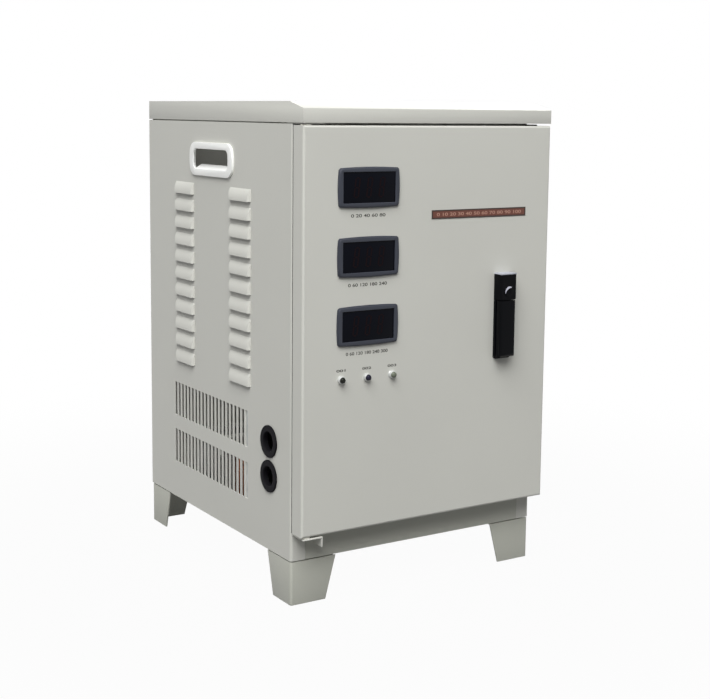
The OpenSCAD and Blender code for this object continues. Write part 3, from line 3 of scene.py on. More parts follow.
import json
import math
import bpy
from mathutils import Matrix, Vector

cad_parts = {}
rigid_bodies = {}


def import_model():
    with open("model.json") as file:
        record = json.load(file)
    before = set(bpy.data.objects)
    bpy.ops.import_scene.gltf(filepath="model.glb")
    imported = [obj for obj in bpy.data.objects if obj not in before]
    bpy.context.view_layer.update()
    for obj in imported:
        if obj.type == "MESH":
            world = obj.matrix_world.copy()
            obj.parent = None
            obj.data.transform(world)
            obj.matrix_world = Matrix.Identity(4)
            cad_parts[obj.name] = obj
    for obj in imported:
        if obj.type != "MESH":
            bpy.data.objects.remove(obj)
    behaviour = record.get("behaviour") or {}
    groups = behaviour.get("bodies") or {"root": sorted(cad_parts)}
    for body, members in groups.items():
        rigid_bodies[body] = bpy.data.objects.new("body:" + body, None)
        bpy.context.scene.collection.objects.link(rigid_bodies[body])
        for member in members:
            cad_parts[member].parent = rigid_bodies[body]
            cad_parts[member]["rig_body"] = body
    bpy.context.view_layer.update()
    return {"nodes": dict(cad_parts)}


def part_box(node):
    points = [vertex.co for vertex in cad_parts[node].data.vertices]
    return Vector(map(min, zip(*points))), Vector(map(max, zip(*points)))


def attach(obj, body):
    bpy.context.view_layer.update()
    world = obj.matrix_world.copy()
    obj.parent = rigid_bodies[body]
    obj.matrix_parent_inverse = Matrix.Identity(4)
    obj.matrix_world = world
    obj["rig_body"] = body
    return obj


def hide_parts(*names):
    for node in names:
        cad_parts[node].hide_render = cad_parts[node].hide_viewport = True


bl_info = {
    "name": "Voltage stabilizer dressing",
    "version": (1, 0, 0),
    "blender": (4, 5, 0),
    "location": "View3D > Sidebar > Stabilizer",
    "description": "Finishes and detail pieces for a louvred stabilizer cabinet",
    "category": "Object",
}

import bmesh
import bpy
from mathutils import Matrix, Vector

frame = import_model()
NODES = frame["nodes"]
MM = 0.001
WHITE = (1, 1, 1, 1)


# Settings


def linear(red, green, blue):
    """Scene-linear colour of an 8-bit screen colour."""

    def one(value):
        share = value / 255
        return share / 12.92 if share <= 0.04045 else ((share + 0.055) / 1.055) ** 2.4

    return (one(red), one(green), one(blue))


def colour_setting(label, hint, screen):
    return bpy.props.FloatVectorProperty(
        name=label, description=hint, subtype="COLOR", size=3, min=0.0, max=1.0, default=linear(*screen)
    )


def length_setting(label, hint, metres):
    return bpy.props.FloatProperty(
        name=label, description=hint, subtype="DISTANCE", unit="LENGTH", min=0.0, default=metres
    )


def angle_setting(label, hint, degrees):
    return bpy.props.FloatProperty(
        name=label, description=hint, subtype="ANGLE", default=math.radians(degrees)
    )


def strength_setting(label, hint, strength):
    return bpy.props.FloatProperty(name=label, description=hint, min=0.0, default=strength)


class StabilizerColours(bpy.types.PropertyGroup):
    paint: colour_setting("Cabinet paint", "Powder coat of the cabinet and door", (200, 200, 193))
    # Painted shade: a darker grey than the cabinet paint, for the shade under the door's overhang and round
    # the feet
    base_paint: colour_setting("Base paint", "Powder coat of the base tray and feet", (180, 181, 171))
    bezel: colour_setting("Meter bezel", "Moulded bezels of the three meters", (57, 60, 69))
    window: colour_setting("Meter window", "Tinted windows of the meters", (5, 7, 16))
    handle: colour_setting("Carrying handle", "Moulded carrying handles", (248, 249, 246))
    lock: colour_setting("Lock", "Painted lock, handle and button", (4, 5, 8))
    # The rubber colour also paints the shade of the door's gap on the side panels' front flanges
    rubber: colour_setting("Rubber", "Grommets, door gasket and tape", (9, 8, 12))
    strip: colour_setting("Strip", "Middle of the printed strip", (96, 50, 36))
    strip_edge: colour_setting("Strip edge", "Border of the printed strip", (44, 25, 16))
    strip_ink: colour_setting("Strip numbers", "Numbers printed on the strip", (168, 128, 112))
    ink: colour_setting("Ink", "Small printed marks", (64, 64, 58))
    lens_one: colour_setting("First lens", "Left indicator lamp", (18, 20, 12))
    lens_two: colour_setting("Second lens", "Middle indicator lamp", (24, 22, 42))
    lens_three: colour_setting("Third lens", "Right indicator lamp", (104, 110, 96))


class StabilizerSizes(bpy.types.PropertyGroup):
    sheet_fold: length_setting("Sheet fold", "Outside radius of the lid's and feet's folds", 0.6 * MM)
    plastic_edge: length_setting("Plastic edge", "Rounded edge of the carrying handles", 1.2 * MM)
    bezel_edge: length_setting("Bezel edge", "Rounded edge of the meter bezels", 0.7 * MM)
    window_edge: length_setting("Window edge", "Rounded edge of the meter windows", 0.25 * MM)
    rubber_edge: length_setting("Rubber edge", "Rounded edge of the cable grommets", 0.6 * MM)
    lock_edge: length_setting("Lock edge", "Rounded edge of the lock's pieces", 0.9 * MM)
    # Painted highlight: the pale cap stands in for light on the lock's upper end
    lock_trim: length_setting("Lock trim", "Height of the bright cap on the lock's upper end", 2.2 * MM)
    # Painted highlight: the pale crescent stands in for light on the button's upper left rim
    mark_rise: length_setting("Mark rise", "How far the button's mark stands out", 0.15 * MM)
    mark_height: length_setting("Mark height", "Height of the printed scales under the meters", 4.4 * MM)
    mark_drop: length_setting("Mark drop", "From a meter's lower edge to the middle of its scale", 9.8 * MM)
    lamp_mark_height: length_setting("Lamp mark height", "Height of the marks over the lamps", 3.4 * MM)
    lamp_mark_width: length_setting("Lamp mark width", "Width of the marks over the lamps", 14.0 * MM)
    lamp_mark_gap: length_setting("Lamp mark gap", "From a lamp's top to the middle of its mark", 6.5 * MM)
    lens_reach: length_setting("Lens reach", "How far the lamps' domes stand out past their seats", 3.2 * MM)
    strip_border: length_setting("Strip border", "Width of the printed strip's border", 1.9 * MM)
    ink_thickness: length_setting("Ink thickness", "How far printed marks stand out", 0.04 * MM)


class StabilizerStage(bpy.types.PropertyGroup):
    lens: bpy.props.FloatProperty(name="Lens", description="Focal length in millimetres", default=68.24)
    azimuth: angle_setting("Azimuth", "Camera's turn round the object", -32.241)
    elevation: angle_setting("Elevation", "Camera's downward tilt", 7.181)
    roll: angle_setting("Roll", "Camera's roll", 0.564)
    shift: bpy.props.FloatProperty(name="Shift", description="Vertical shift of the lens", default=-0.0974)
    place: bpy.props.FloatVectorProperty(
        name="Place",
        description="Camera's place",
        subtype="TRANSLATION",
        size=3,
        default=(-1.0424, -1.6885, 0.6494),
    )
    sky: strength_setting("Sky", "Strength of the even light", 0.1)
    key: strength_setting("Key", "Power of the high lamp in watts", 540.0)
    key_size: length_setting("Key size", "Side of the high lamp", 4.4)
    front: strength_setting("Front", "Power of the front lamp in watts", 40.0)
    rear: strength_setting("Rear", "Power of the rear lamp in watts", 80.0)
    inside: strength_setting("Inside", "Power of the fill under the lid in watts", 0.12)


def colours():
    return bpy.context.scene.stabilizer_colours


def sizes():
    return bpy.context.scene.stabilizer_sizes


def stage():
    return bpy.context.scene.stabilizer_stage


# Materials

# Sockets of a Mix node that blends colours
MIX_SHARE, MIX_FIRST, MIX_SECOND, MIX_RESULT = 0, 6, 7, 2
# Stripes that a Wave texture of scale 1 lays in one metre
WAVES_PER_METRE = 3.18
# Depth of the painted shade, in the rubber's black, along the side panels' front flanges, where the door's gap
# falls
GAP_SHADE_DEPTH = 0.8 * MM


class Tree:
    """Adds nodes to a tree and joins them with short calls."""

    def __init__(self, tree):
        self.tree = tree

    def add(self, kind, **settings):
        node = self.tree.nodes.new(kind)
        for key, value in settings.items():
            setattr(node, key, value)
        return node

    def join(self, source, target):
        self.tree.links.new(source, target)

    def spread(self, value, low, high, start=0.3, end=0.7, shape="LINEAR"):
        """A value stretched from the range start to end over the range low to high."""
        spread = self.add("ShaderNodeMapRange", interpolation_type=shape)
        for socket, number in (("From Min", start), ("From Max", end), ("To Min", low), ("To Max", high)):
            spread.inputs[socket].default_value = number
        self.join(value, spread.inputs["Value"])
        return spread.outputs["Result"]

    def math(self, operation, *values):
        """The result of one operation on outputs and numbers."""
        node = self.add("ShaderNodeMath", operation=operation)
        for value, socket in zip(values, node.inputs):
            if isinstance(value, bpy.types.NodeSocket):
                self.join(value, socket)
            else:
                socket.default_value = value
        return node.outputs[0]

    def mix(self, share, first, second):
        """One colour blended into another by a share."""
        mix = self.add("ShaderNodeMix", data_type="RGBA")
        self.join(share, mix.inputs[MIX_SHARE])
        for number, colour in ((MIX_FIRST, first), (MIX_SECOND, second)):
            if isinstance(colour, bpy.types.NodeSocket):
                self.join(colour, mix.inputs[number])
            else:
                mix.inputs[number].default_value = (*colour, 1)
        return mix.outputs[MIX_RESULT]

    def show(self, share, first, second, output):
        """Sends one shader, blended into another by a share, to an output node."""
        blend = self.add("ShaderNodeMixShader")
        for source, socket in zip((share, first, second), blend.inputs):
            self.join(source, socket)
        self.join(blend.outputs[0], self.tree.nodes[output].inputs["Surface"])

    def background_share(self):
        """1 for rays that should see a plain white background, from the light path."""
        path = self.add("ShaderNodeLightPath")
        either = self.math("MAXIMUM", path.outputs["Is Camera Ray"], path.outputs["Is Glossy Ray"])
        return self.math("MAXIMUM", either, path.outputs["Is Transmission Ray"])


class Finish(Tree):
    """The tree of one new material, which reads a piece's own coordinates."""

    def __init__(self, name):
        self.material = bpy.data.materials.new(name)
        self.material.use_nodes = True
        super().__init__(self.material.node_tree)
        self.shader = self.tree.nodes["Principled BSDF"]
        self.place = self.add("ShaderNodeTexCoord").outputs["Object"]

    def hold(self, socket, value):
        """Sets one socket of the shader to a constant."""
        self.shader.inputs[socket].default_value = value

    def colour(self, source):
        self.join(source, self.shader.inputs["Base Color"])

    def roughness(self, source, low, high):
        self.join(self.spread(source, low, high), self.shader.inputs["Roughness"])

    def mapped(self, scale=(1, 1, 1), shift=(0, 0, 0), turn=(0, 0, 0)):
        mapping = self.add("ShaderNodeMapping")
        for socket, value in (("Scale", scale), ("Location", shift), ("Rotation", turn)):
            mapping.inputs[socket].default_value = value
        self.join(self.place, mapping.inputs["Vector"])
        return mapping.outputs["Vector"]

    def noise(self, vector, scale, detail=3.0):
        noise = self.add("ShaderNodeTexNoise")
        noise.inputs["Scale"].default_value = scale
        noise.inputs["Detail"].default_value = detail
        self.join(vector, noise.inputs["Vector"])
        return noise.outputs["Fac"]

    def bump(self, height, depth):
        """Adds relief of a depth in metres over any that is there."""
        bump = self.add("ShaderNodeBump")
        bump.inputs["Distance"].default_value = depth
        self.join(height, bump.inputs["Height"])
        before = self.shader.inputs["Normal"].links
        if before:
            self.join(before[0].from_socket, bump.inputs["Normal"])
        self.join(bump.outputs["Normal"], self.shader.inputs["Normal"])


def shade(colour, share):
    return tuple(min(1.0, part * share) for part in colour)


def surface(name, colour, rough, grain, depth, metal=0.0, mottle=0.04, patch=9.0, stretch=(1, 1, 1)):
    """A finish with a fine grain, a slow drift of tone, and a roughness that varies with the grain."""
    finish = Finish(name)
    vector = finish.mapped(scale=stretch)
    fine = finish.noise(vector, grain)
    drift = finish.spread(finish.noise(vector, patch, detail=4.0), 0.0, 1.0)
    finish.colour(finish.mix(drift, shade(colour, 1 - mottle), shade(colour, 1 + mottle)))
    finish.roughness(fine, rough - 0.06, rough + 0.06)
    finish.hold("Metallic", metal)
    finish.bump(fine, depth)
    return finish


def powder_finish(name, colour):
    """Baked powder coat: fine orange peel under a satin gloss."""
    finish = surface(name, colour, rough=0.46, grain=620.0, depth=0.035 * MM, mottle=0.018, patch=5.0)
    finish.bump(finish.noise(finish.place, 170.0, detail=2.0), 0.05 * MM)
    finish.hold("Coat Weight", 0.08)
    finish.hold("Coat Roughness", 0.3)
    return finish


def powder_coat(name, colour):
    return powder_finish(name, colour).material


def gap_shade_coat(name, colour):
    """Powder coat whose front flange, which the door closes on, carries painted shade in the rubber's black
    for the shade of the door's gap.
    """
    finish = powder_finish(name, colour)
    parts = finish.add("ShaderNodeSeparateXYZ")
    finish.join(finish.place, parts.inputs["Vector"])
    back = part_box("side_panel_left")[0].y + GAP_SHADE_DEPTH
    lower_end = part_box("door_panel")[0].z
    # Painted shade: the flange's front band above the door's lower edge takes the rubber's black, for the door
    # gap's shade
    in_front = finish.math("LESS_THAN", parts.outputs["Y"], back)
    above = finish.math("GREATER_THAN", parts.outputs["Z"], lower_end)
    paint = finish.shader.inputs["Base Color"].links[0].from_socket
    finish.colour(finish.mix(finish.math("MULTIPLY", in_front, above), paint, colours().rubber))
    return finish.material


def zinc_plate(name, colour):
    """Zinc-plated steel with a drawn grain."""
    finish = surface(
        name, colour, rough=0.36, metal=0.9, grain=260.0, depth=0.01 * MM, mottle=0.08, stretch=(1, 1, 12)
    )
    return finish.material


def galvanised(name, colour):
    """Galvanised sheet with its spangle."""
    finish = surface(name, colour, rough=0.42, metal=0.85, grain=300.0, depth=0.01 * MM, mottle=0.05)
    spangle = finish.add("ShaderNodeTexVoronoi")
    spangle.inputs["Scale"].default_value = 90.0
    finish.join(finish.place, spangle.inputs["Vector"])
    flake = finish.add("ShaderNodeSeparateColor")
    finish.join(spangle.outputs["Color"], flake.inputs["Color"])
    finish.colour(finish.mix(flake.outputs[0], shade(colour, 0.86), shade(colour, 1.1)))
    return finish.material


def cast_metal(name, colour):
    return surface(name, colour, rough=0.5, metal=0.8, grain=500.0, depth=0.06 * MM).material


def moulded(name, colour, rough=0.42, depth=0.02 * MM, shine=0.5):
    finish = surface(name, colour, rough=rough, grain=1300.0, depth=depth, mottle=0.03, patch=14.0)
    finish.hold("Specular IOR Level", shine)
    return finish.material


def polished(name, colour, rough=0.1, metal=0.0, shine=0.5):
    finish = surface(
        name, colour, rough=rough + 0.06, metal=metal, grain=200.0, depth=0.002 * MM, mottle=0.03, patch=30.0
    )
    finish.hold("Specular IOR Level", shine)
    return finish.material


def rubber_moulding(name, colour):
    finish = surface(name, colour, rough=0.8, grain=700.0, depth=0.04 * MM, mottle=0.08)
    finish.hold("Specular IOR Level", 0.15)
    return finish.material


def striped(name, colour, second, across, pitch, rough, metal):
    """Fine parallel lines, such as stacked laminations or wound wire, across the axis given."""
    finish = Finish(name)
    wave = finish.add("ShaderNodeTexWave", bands_direction=across)
    wave.inputs["Scale"].default_value = 1 / pitch / WAVES_PER_METRE
    finish.join(finish.place, wave.inputs["Vector"])
    finish.colour(finish.mix(wave.outputs["Fac"], colour, second))
    finish.roughness(finish.noise(finish.place, 300.0), rough - 0.08, rough + 0.08)
    finish.hold("Metallic", metal)
    finish.bump(wave.outputs["Fac"], 0.2 * MM)
    return finish.material


def wound_ring(name, colour, second, turns):
    """Wire wound round the ring cores: one line for each turn, laid out by angle about their axis."""
    finish = Finish(name)
    axis = centre_of("variac_cores")
    parts = finish.add("ShaderNodeSeparateXYZ")
    finish.join(finish.mapped(shift=(-axis.x, -axis.y, 0)), parts.inputs["Vector"])
    angle = finish.math("ARCTAN2", parts.outputs["Y"], parts.outputs["X"])
    wave = finish.math("SINE", finish.math("MULTIPLY", angle, turns))
    line = finish.spread(wave, 0.0, 1.0, start=-1.0, end=1.0)
    finish.colour(finish.mix(line, colour, second))
    finish.roughness(finish.noise(finish.place, 300.0), 0.28, 0.4)
    finish.hold("Metallic", 0.75)
    finish.bump(line, 0.4 * MM)
    return finish.material


def circuit_board(name, colour):
    """Green solder mask over a pattern of tracks."""
    finish = Finish(name)
    tracks = finish.add("ShaderNodeTexBrick", offset=0.5)
    tracks.inputs["Scale"].default_value = 60.0
    tracks.inputs["Mortar Size"].default_value = 0.03
    for socket, share in (("Color1", 1.0), ("Color2", 0.85), ("Mortar", 1.9)):
        tracks.inputs[socket].default_value = (*shade(colour, share), 1)
    finish.join(finish.mapped(turn=(math.radians(90), 0, 0)), tracks.inputs["Vector"])
    finish.colour(tracks.outputs["Color"])
    finish.roughness(finish.noise(finish.place, 500.0), 0.3, 0.42)
    finish.bump(tracks.outputs["Fac"], 0.05 * MM)
    return finish.material


# Each finish: its maker, the material's name, a colour setting's name or a screen colour, and any options
MAKERS = {
    "paint": (powder_coat, "Cabinet_paint", "paint", {}),
    # Painted shade for the base tray and feet
    "base_paint": (powder_coat, "Base_paint", "base_paint", {}),
    "taped_paint": (gap_shade_coat, "Taped_paint", "paint", {}),
    "zinc": (zinc_plate, "Zinc_plate", (196, 196, 190), {}),
    "motor": (zinc_plate, "Motor_case", (186, 178, 150), {}),
    "galvanised": (galvanised, "Galvanised_sheet", (178, 180, 180), {}),
    "cast": (cast_metal, "Cast_aluminium", (150, 150, 152), {}),
    "handle": (moulded, "Handle_plastic", "handle", {"rough": 0.36}),
    "bush": (moulded, "Bush_plastic", (228, 226, 216), {}),
    "black_plastic": (moulded, "Black_plastic", (26, 26, 29), {}),
    "bezel": (moulded, "Bezel_plastic", "bezel", {"rough": 0.4, "depth": 0.015 * MM, "shine": 0.25}),
    "component": (moulded, "Component_housing", (58, 66, 92), {}),
    "switchgear": (moulded, "Switchgear_housing", (214, 213, 205), {}),
    "carbon": (moulded, "Pressed_carbon", (38, 38, 40), {"rough": 0.55, "depth": 0.04 * MM}),
    "nylon": (moulded, "Nylon_gear", (226, 221, 204), {"rough": 0.4}),
    "ink": (moulded, "Printed_ink", "ink", {"rough": 0.6, "depth": 0.004 * MM}),
    "strip_ink": (moulded, "Strip_numbers", "strip_ink", {"rough": 0.6, "depth": 0.004 * MM}),
    # Painted highlight: the pale crescent on the lock's button
    "lock_mark": (moulded, "Lock_mark", (196, 197, 210), {"rough": 0.4, "depth": 0.004 * MM}),
    "rubber": (rubber_moulding, "Black_rubber", "rubber", {}),
    "gasket": (rubber_moulding, "Grey_rubber", (186, 186, 176), {}),
    "window": (polished, "Smoked_window", "window", {"rough": 0.12, "shine": 0.06}),
    "segment": (polished, "Unlit_segments", (18, 6, 9), {"rough": 0.3, "shine": 0.06}),
    "chrome": (polished, "Lamp_chrome", (196, 198, 196), {"rough": 0.24, "metal": 0.35}),
    "lens_one": (polished, "Lens_left", "lens_one", {"rough": 0.16, "shine": 0.2}),
    "lens_two": (polished, "Lens_middle", "lens_two", {"rough": 0.16, "shine": 0.2}),
    "lens_three": (polished, "Lens_right", "lens_three", {"rough": 0.16, "shine": 0.2}),
    "strip": (polished, "Strip_film", "strip", {"rough": 0.34}),
    "strip_edge": (polished, "Strip_border", "strip_edge", {"rough": 0.34}),
    "lock": (polished, "Lock_paint", "lock", {"rough": 0.1, "shine": 0.07}),
    # Painted highlight: the pale cap on the lock's upper end
    "lock_trim": (polished, "Lock_trim", (158, 161, 170), {"rough": 0.35}),
    "brass": (polished, "Turned_brass", (205, 168, 92), {"rough": 0.2, "metal": 1.0}),
    "board": (circuit_board, "Solder_mask", (24, 92, 56), {}),
    "lamination": (
        striped,
        "Stacked_laminations",
        (60, 60, 62),
        {"second": linear(84, 82, 80), "across": "Y", "pitch": 1.6 * MM, "rough": 0.45, "metal": 0.6},
    ),
    "ring_core": (
        striped,
        "Wound_core_steel",
        (60, 60, 62),
        {"second": linear(80, 80, 80), "across": "Z", "pitch": 1.6 * MM, "rough": 0.45, "metal": 0.6},
    ),
    "coil": (
        striped,
        "Coil_wire",
        (120, 62, 36),
        {"second": linear(168, 98, 58), "across": "Z", "pitch": 2.1 * MM, "rough": 0.32, "metal": 0.7},
    ),
    "windings": (wound_ring, "Ring_winding", (104, 54, 32), {"second": linear(182, 110, 68), "turns": 170}),
}

MATERIALS = {}


def material(key):
    """The shared material of one finish, made when it is first asked for."""
    if key not in MATERIALS:
        maker, name, colour, options = MAKERS[key]
        colour = getattr(colours(), colour) if isinstance(colour, str) else linear(*colour)
        MATERIALS[key] = maker(name, colour, **options)
    return MATERIALS[key]


# Mesh helpers

# Edges that turn by more than this stay sharp to the eye, or take a bevel
CREASE = math.radians(38)
BEVEL_FROM = math.radians(35)
LATHE_STEPS = 48
# How much bolder than its font the print is, in shares of a character's size
INK_WEIGHT = 0.025


def wear(piece, material):
    """Gives a piece one material, in place of any that it has."""
    piece.data.materials.clear()
    piece.data.materials.append(material)


def put(bm, name, material, body, replaced=()):
    """Turns a bmesh into a finished piece that rides on a body."""
    mesh = bpy.data.meshes.new(name)
    bm.to_mesh(mesh)
    bm.free()
    for face in mesh.polygons:
        face.use_smooth = True
    mesh.set_sharp_from_angle(angle=CREASE)
    piece = bpy.data.objects.new(name, mesh)
    bpy.context.scene.collection.objects.link(piece)
    wear(piece, material)
    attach(piece, body)
    if replaced:
        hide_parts(*replaced)
    return piece


def body_of(node):
    return NODES[node]["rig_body"]


def centre_of(node):
    low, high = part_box(node)
    return (low + high) / 2


def welded_copy(node):
    """A bmesh of a CAD node with its corners welded and its flat faces joined up."""
    bm = bmesh.new()
    bm.from_mesh(NODES[node].data)
    bmesh.ops.remove_doubles(bm, verts=bm.verts, dist=0.01 * MM)
    bmesh.ops.dissolve_limit(bm, angle_limit=math.radians(0.5), verts=bm.verts, edges=bm.edges)
    return bm


def soften(bm, radius, segments=3):
    """Rounds every edge that turns sharply."""
    edges = [e for e in bm.edges if len(e.link_faces) == 2 and e.calc_face_angle(0.0) > BEVEL_FROM]
    bmesh.ops.bevel(
        bm,
        geom=edges,
        offset=radius,
        offset_type="OFFSET",
        segments=segments,
        profile=0.5,
        affect="EDGES",
        clamp_overlap=True,
        material=-1,
    )
    return bm


def rounded_node(node, radius, material, segments=3):
    """Replaces a CAD node by a copy with rounded edges."""
    bm = soften(welded_copy(node), radius, segments)
    return put(bm, node + "_piece", material, body_of(node), replaced=[node])


def box_shape(bm, low, high):
    """Adds a box between two corners."""
    low, high = Vector(low), Vector(high)
    made = bmesh.ops.create_cube(bm, size=1.0)["verts"]
    bmesh.ops.scale(bm, vec=high - low, verts=made)
    bmesh.ops.translate(bm, vec=(low + high) / 2, verts=made)


def lathe(profile):
    """A bmesh spun round the Z axis from points given as (radius, height)."""
    bm = bmesh.new()
    verts = [bm.verts.new((radius, 0, height)) for radius, height in profile]
    edges = [bm.edges.new(pair) for pair in zip(verts, verts[1:])]
    bmesh.ops.spin(
        bm,
        geom=verts + edges,
        cent=(0, 0, 0),
        axis=(0, 0, 1),
        angle=math.tau,
        steps=LATHE_STEPS,
        use_merge=True,
        use_normal_flip=False,
    )
    bmesh.ops.remove_doubles(bm, verts=bm.verts, dist=0.002 * MM)
    bmesh.ops.recalc_face_normals(bm, faces=bm.faces)
    return bm


def facing_front(bm, place):
    """Turns a shape drawn up the Z axis to point out of the door, with its foot at the place given."""
    turn = Matrix.Translation(place) @ Matrix.Rotation(math.radians(90), 4, "X")
    bmesh.ops.transform(bm, matrix=turn, verts=bm.verts)
    return bm


def printed(words, width, height, place, name):
    """A line of flat printed characters of the size given, centred on a place on the door."""
    curve = bpy.data.curves.new(name, "FONT")
    curve.body = words
    curve.offset = INK_WEIGHT
    text = bpy.data.objects.new(name + "_text", curve)
    bpy.context.scene.collection.objects.link(text)
    bpy.context.view_layer.update()
    mesh = bpy.data.meshes.new_from_object(text.evaluated_get(bpy.context.evaluated_depsgraph_get()))
    bpy.data.objects.remove(text)
    bm = bmesh.new()
    bm.from_mesh(mesh)
    bpy.data.meshes.remove(mesh)
    bmesh.ops.remove_doubles(bm, verts=bm.verts, dist=0.1 * MM)
    low = Vector([min(v.co[axis] for v in bm.verts) for axis in range(3)])
    high = Vector([max(v.co[axis] for v in bm.verts) for axis in range(3)])
    bmesh.ops.translate(bm, vec=-(low + high) / 2, verts=bm.verts)
    bmesh.ops.scale(bm, vec=(width / (high.x - low.x), height / (high.y - low.y), 1), verts=bm.verts)
    return facing_front(bm, place)


# Operators

FINISHES = {
    "paint": (
        "rear_panel", "top_rail", "hinge_plate_lower", "hinge_plate_upper", "door_panel", "door_stiffeners",
        "lid",
    ),
    # Base tray and feet: painted shade, darker than the cabinet paint
    "base_paint": ("base_tray", "corner_feet"),
    "taped_paint": ("side_panel_left", "side_panel_right"),
    # Side panels: paint with painted shade of the door's gap on their front flanges
    "zinc": (
        "cabinet_screws", "foot_bolts", "hinge_pins", "lock_nut", "lock_spindle", "lock_cam", "din_rail",
        "transformer_clamps", "variac_plates", "variac_tie_rods", "brush_shaft", "motor_pinion",
    ),
    "galvanised": ("mounting_plate",),
    "gasket": ("lid_gasket",),
    "rubber": ("door_gasket", "cable_grommet_upper", "cable_grommet_lower"),
    "bush": ("hinge_bushes",),
    "handle": ("carry_handle_left", "carry_handle_right"),
    "bezel": ("meter_upper", "meter_middle", "meter_lower"),
    "window": ("meter_windows",),
    "chrome": ("lamp_bezels",),
    "lens_one": ("lamp_lenses",),
    "strip_edge": ("printed_strip",),
    "lock": ("lock_base", "lock_button", "lock_handle", "lock_handle_pin"),
    "board": ("control_board",),
    "component": ("board_components",),
    "switchgear": ("contactor", "circuit_breaker"),
    "black_plastic": ("breaker_toggle", "current_transformer", "terminal_block", "limit_switches"),
    "brass": ("earth_stud", "variac_bearings"),
    "lamination": ("transformer_core",),
    "ring_core": ("variac_cores",),
    "coil": ("transformer_coil",),
    "windings": ("variac_windings",),
    "cast": ("brush_arms",),
    "carbon": ("carbon_brushes",),
    "nylon": ("drive_gear",),
    "motor": ("servo_motor",),
}


class FinishOperator:
    bl_options = {"REGISTER", "UNDO"}


class STABILIZER_OT_finish_nodes(FinishOperator, bpy.types.Operator):
    """Give every piece that comes with the frame its finish"""

    bl_idname = "stabilizer.finish_nodes"
    bl_label = "Finish the frame's pieces"

    def execute(self, context):
        named = [node for nodes in FINISHES.values() for node in nodes]
        missing = sorted(set(NODES) - set(named))
        if missing:
            raise RuntimeError("no finish for " + ", ".join(missing))
        for key, nodes in FINISHES.items():
            for node in nodes:
                wear(NODES[node], material(key))
        return {"FINISHED"}


class STABILIZER_OT_sheet_folds(FinishOperator, bpy.types.Operator):
    """Round the folds of the lid, the feet and the hinge plate"""

    bl_idname = "stabilizer.sheet_folds"
    bl_label = "Sheet folds"

    def execute(self, context):
        for node, key in (("lid", "paint"), ("corner_feet", "base_paint"), ("hinge_plate_lower", "paint")):
            rounded_node(node, sizes().sheet_fold, material(key))
        return {"FINISHED"}


class STABILIZER_OT_carry_handles(FinishOperator, bpy.types.Operator):
    """Round the moulded carrying handles"""

    bl_idname = "stabilizer.carry_handles"
    bl_label = "Carrying handles"

    def execute(self, context):
        for node in ("carry_handle_left", "carry_handle_right"):
            rounded_node(node, sizes().plastic_edge, material("handle"))
        return {"FINISHED"}


# Bars of one digit, placed in steps across and up from its middle, and whether each lies flat
DIGIT_BARS = (
    (-1, 2, False), (1, 2, False), (-1, -2, False), (1, -2, False), (0, 4, True), (0, 0, True), (0, -4, True),
)
DIGIT_PLACES = (-1, 0, 1)
DIGIT_PITCH = 19.0 * MM
DIGIT_STEP = 3.1 * MM
DIGIT_LEAN = 0.12
BAR_WIDTH = 2.0 * MM
LYING_BAR = (DIGIT_STEP - BAR_WIDTH * 0.6, BAR_WIDTH / 2)
STANDING_BAR = (BAR_WIDTH / 2, DIGIT_STEP * 1.75)
# How far the unlit bars and the strip's film stand out
FILM_RISE = 0.02 * MM


class STABILIZER_OT_meters(FinishOperator, bpy.types.Operator):
    """Round the meters' bezels and set unlit digits in their windows"""

    bl_idname = "stabilizer.meters"
    bl_label = "Panel meters"

    def execute(self, context):
        for node in ("meter_upper", "meter_middle", "meter_lower"):
            rounded_node(node, sizes().bezel_edge, material("bezel"))
            self.digits(node)
        rounded_node("meter_windows", sizes().window_edge, material("window"), segments=2)
        return {"FINISHED"}

    def digits(self, node):
        """Three unlit digits of seven bars each, which lean to the right."""
        middle = centre_of(node)
        middle.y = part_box("meter_windows")[0].y
        bm = bmesh.new()
        for digit in DIGIT_PLACES:
            for across, up, lying in DIGIT_BARS:
                half_width, half_height = LYING_BAR if lying else STANDING_BAR
                half = Vector((half_width, FILM_RISE, half_height))
                centre = Vector((digit * DIGIT_PITCH + across * DIGIT_STEP, 0, up * DIGIT_STEP))
                box_shape(bm, centre - half, centre + half)
        lean = Matrix.Identity(4)
        lean[0][2] = DIGIT_LEAN
        bmesh.ops.transform(bm, matrix=Matrix.Translation(middle) @ lean, verts=bm.verts)
        put(bm, node + "_digits", material("segment"), "door")


# The lamp bezel's outline, in shares of its radius and height
BEZEL_OUTLINE = (
    (0.72, 0.3), (0.72, 1.4), (0.77, 1.5), (0.85, 1.4), (0.95, 0.8),
    (1.0, 0.35), (1.0, 0.0), (0.72, 0.0), (0.72, 0.3),
)
LENS_SEAT = 0.72
LENS_FOOT = 0.3
LENS_COLLAR = 1.3
# The dome's curve, in shares of its seat's radius and of its reach
DOME_CURVE = ((0.0, 1.0), (0.35, 0.985), (0.65, 0.93), (0.88, 0.82))


def lamp_places():
    """The lamps' radius and the middle of each, from left to right."""
    low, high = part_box("lamp_bezels")
    radius = (high.z - low.z) / 2
    return radius, (low.x + radius, (low.x + high.x) / 2, high.x - radius)


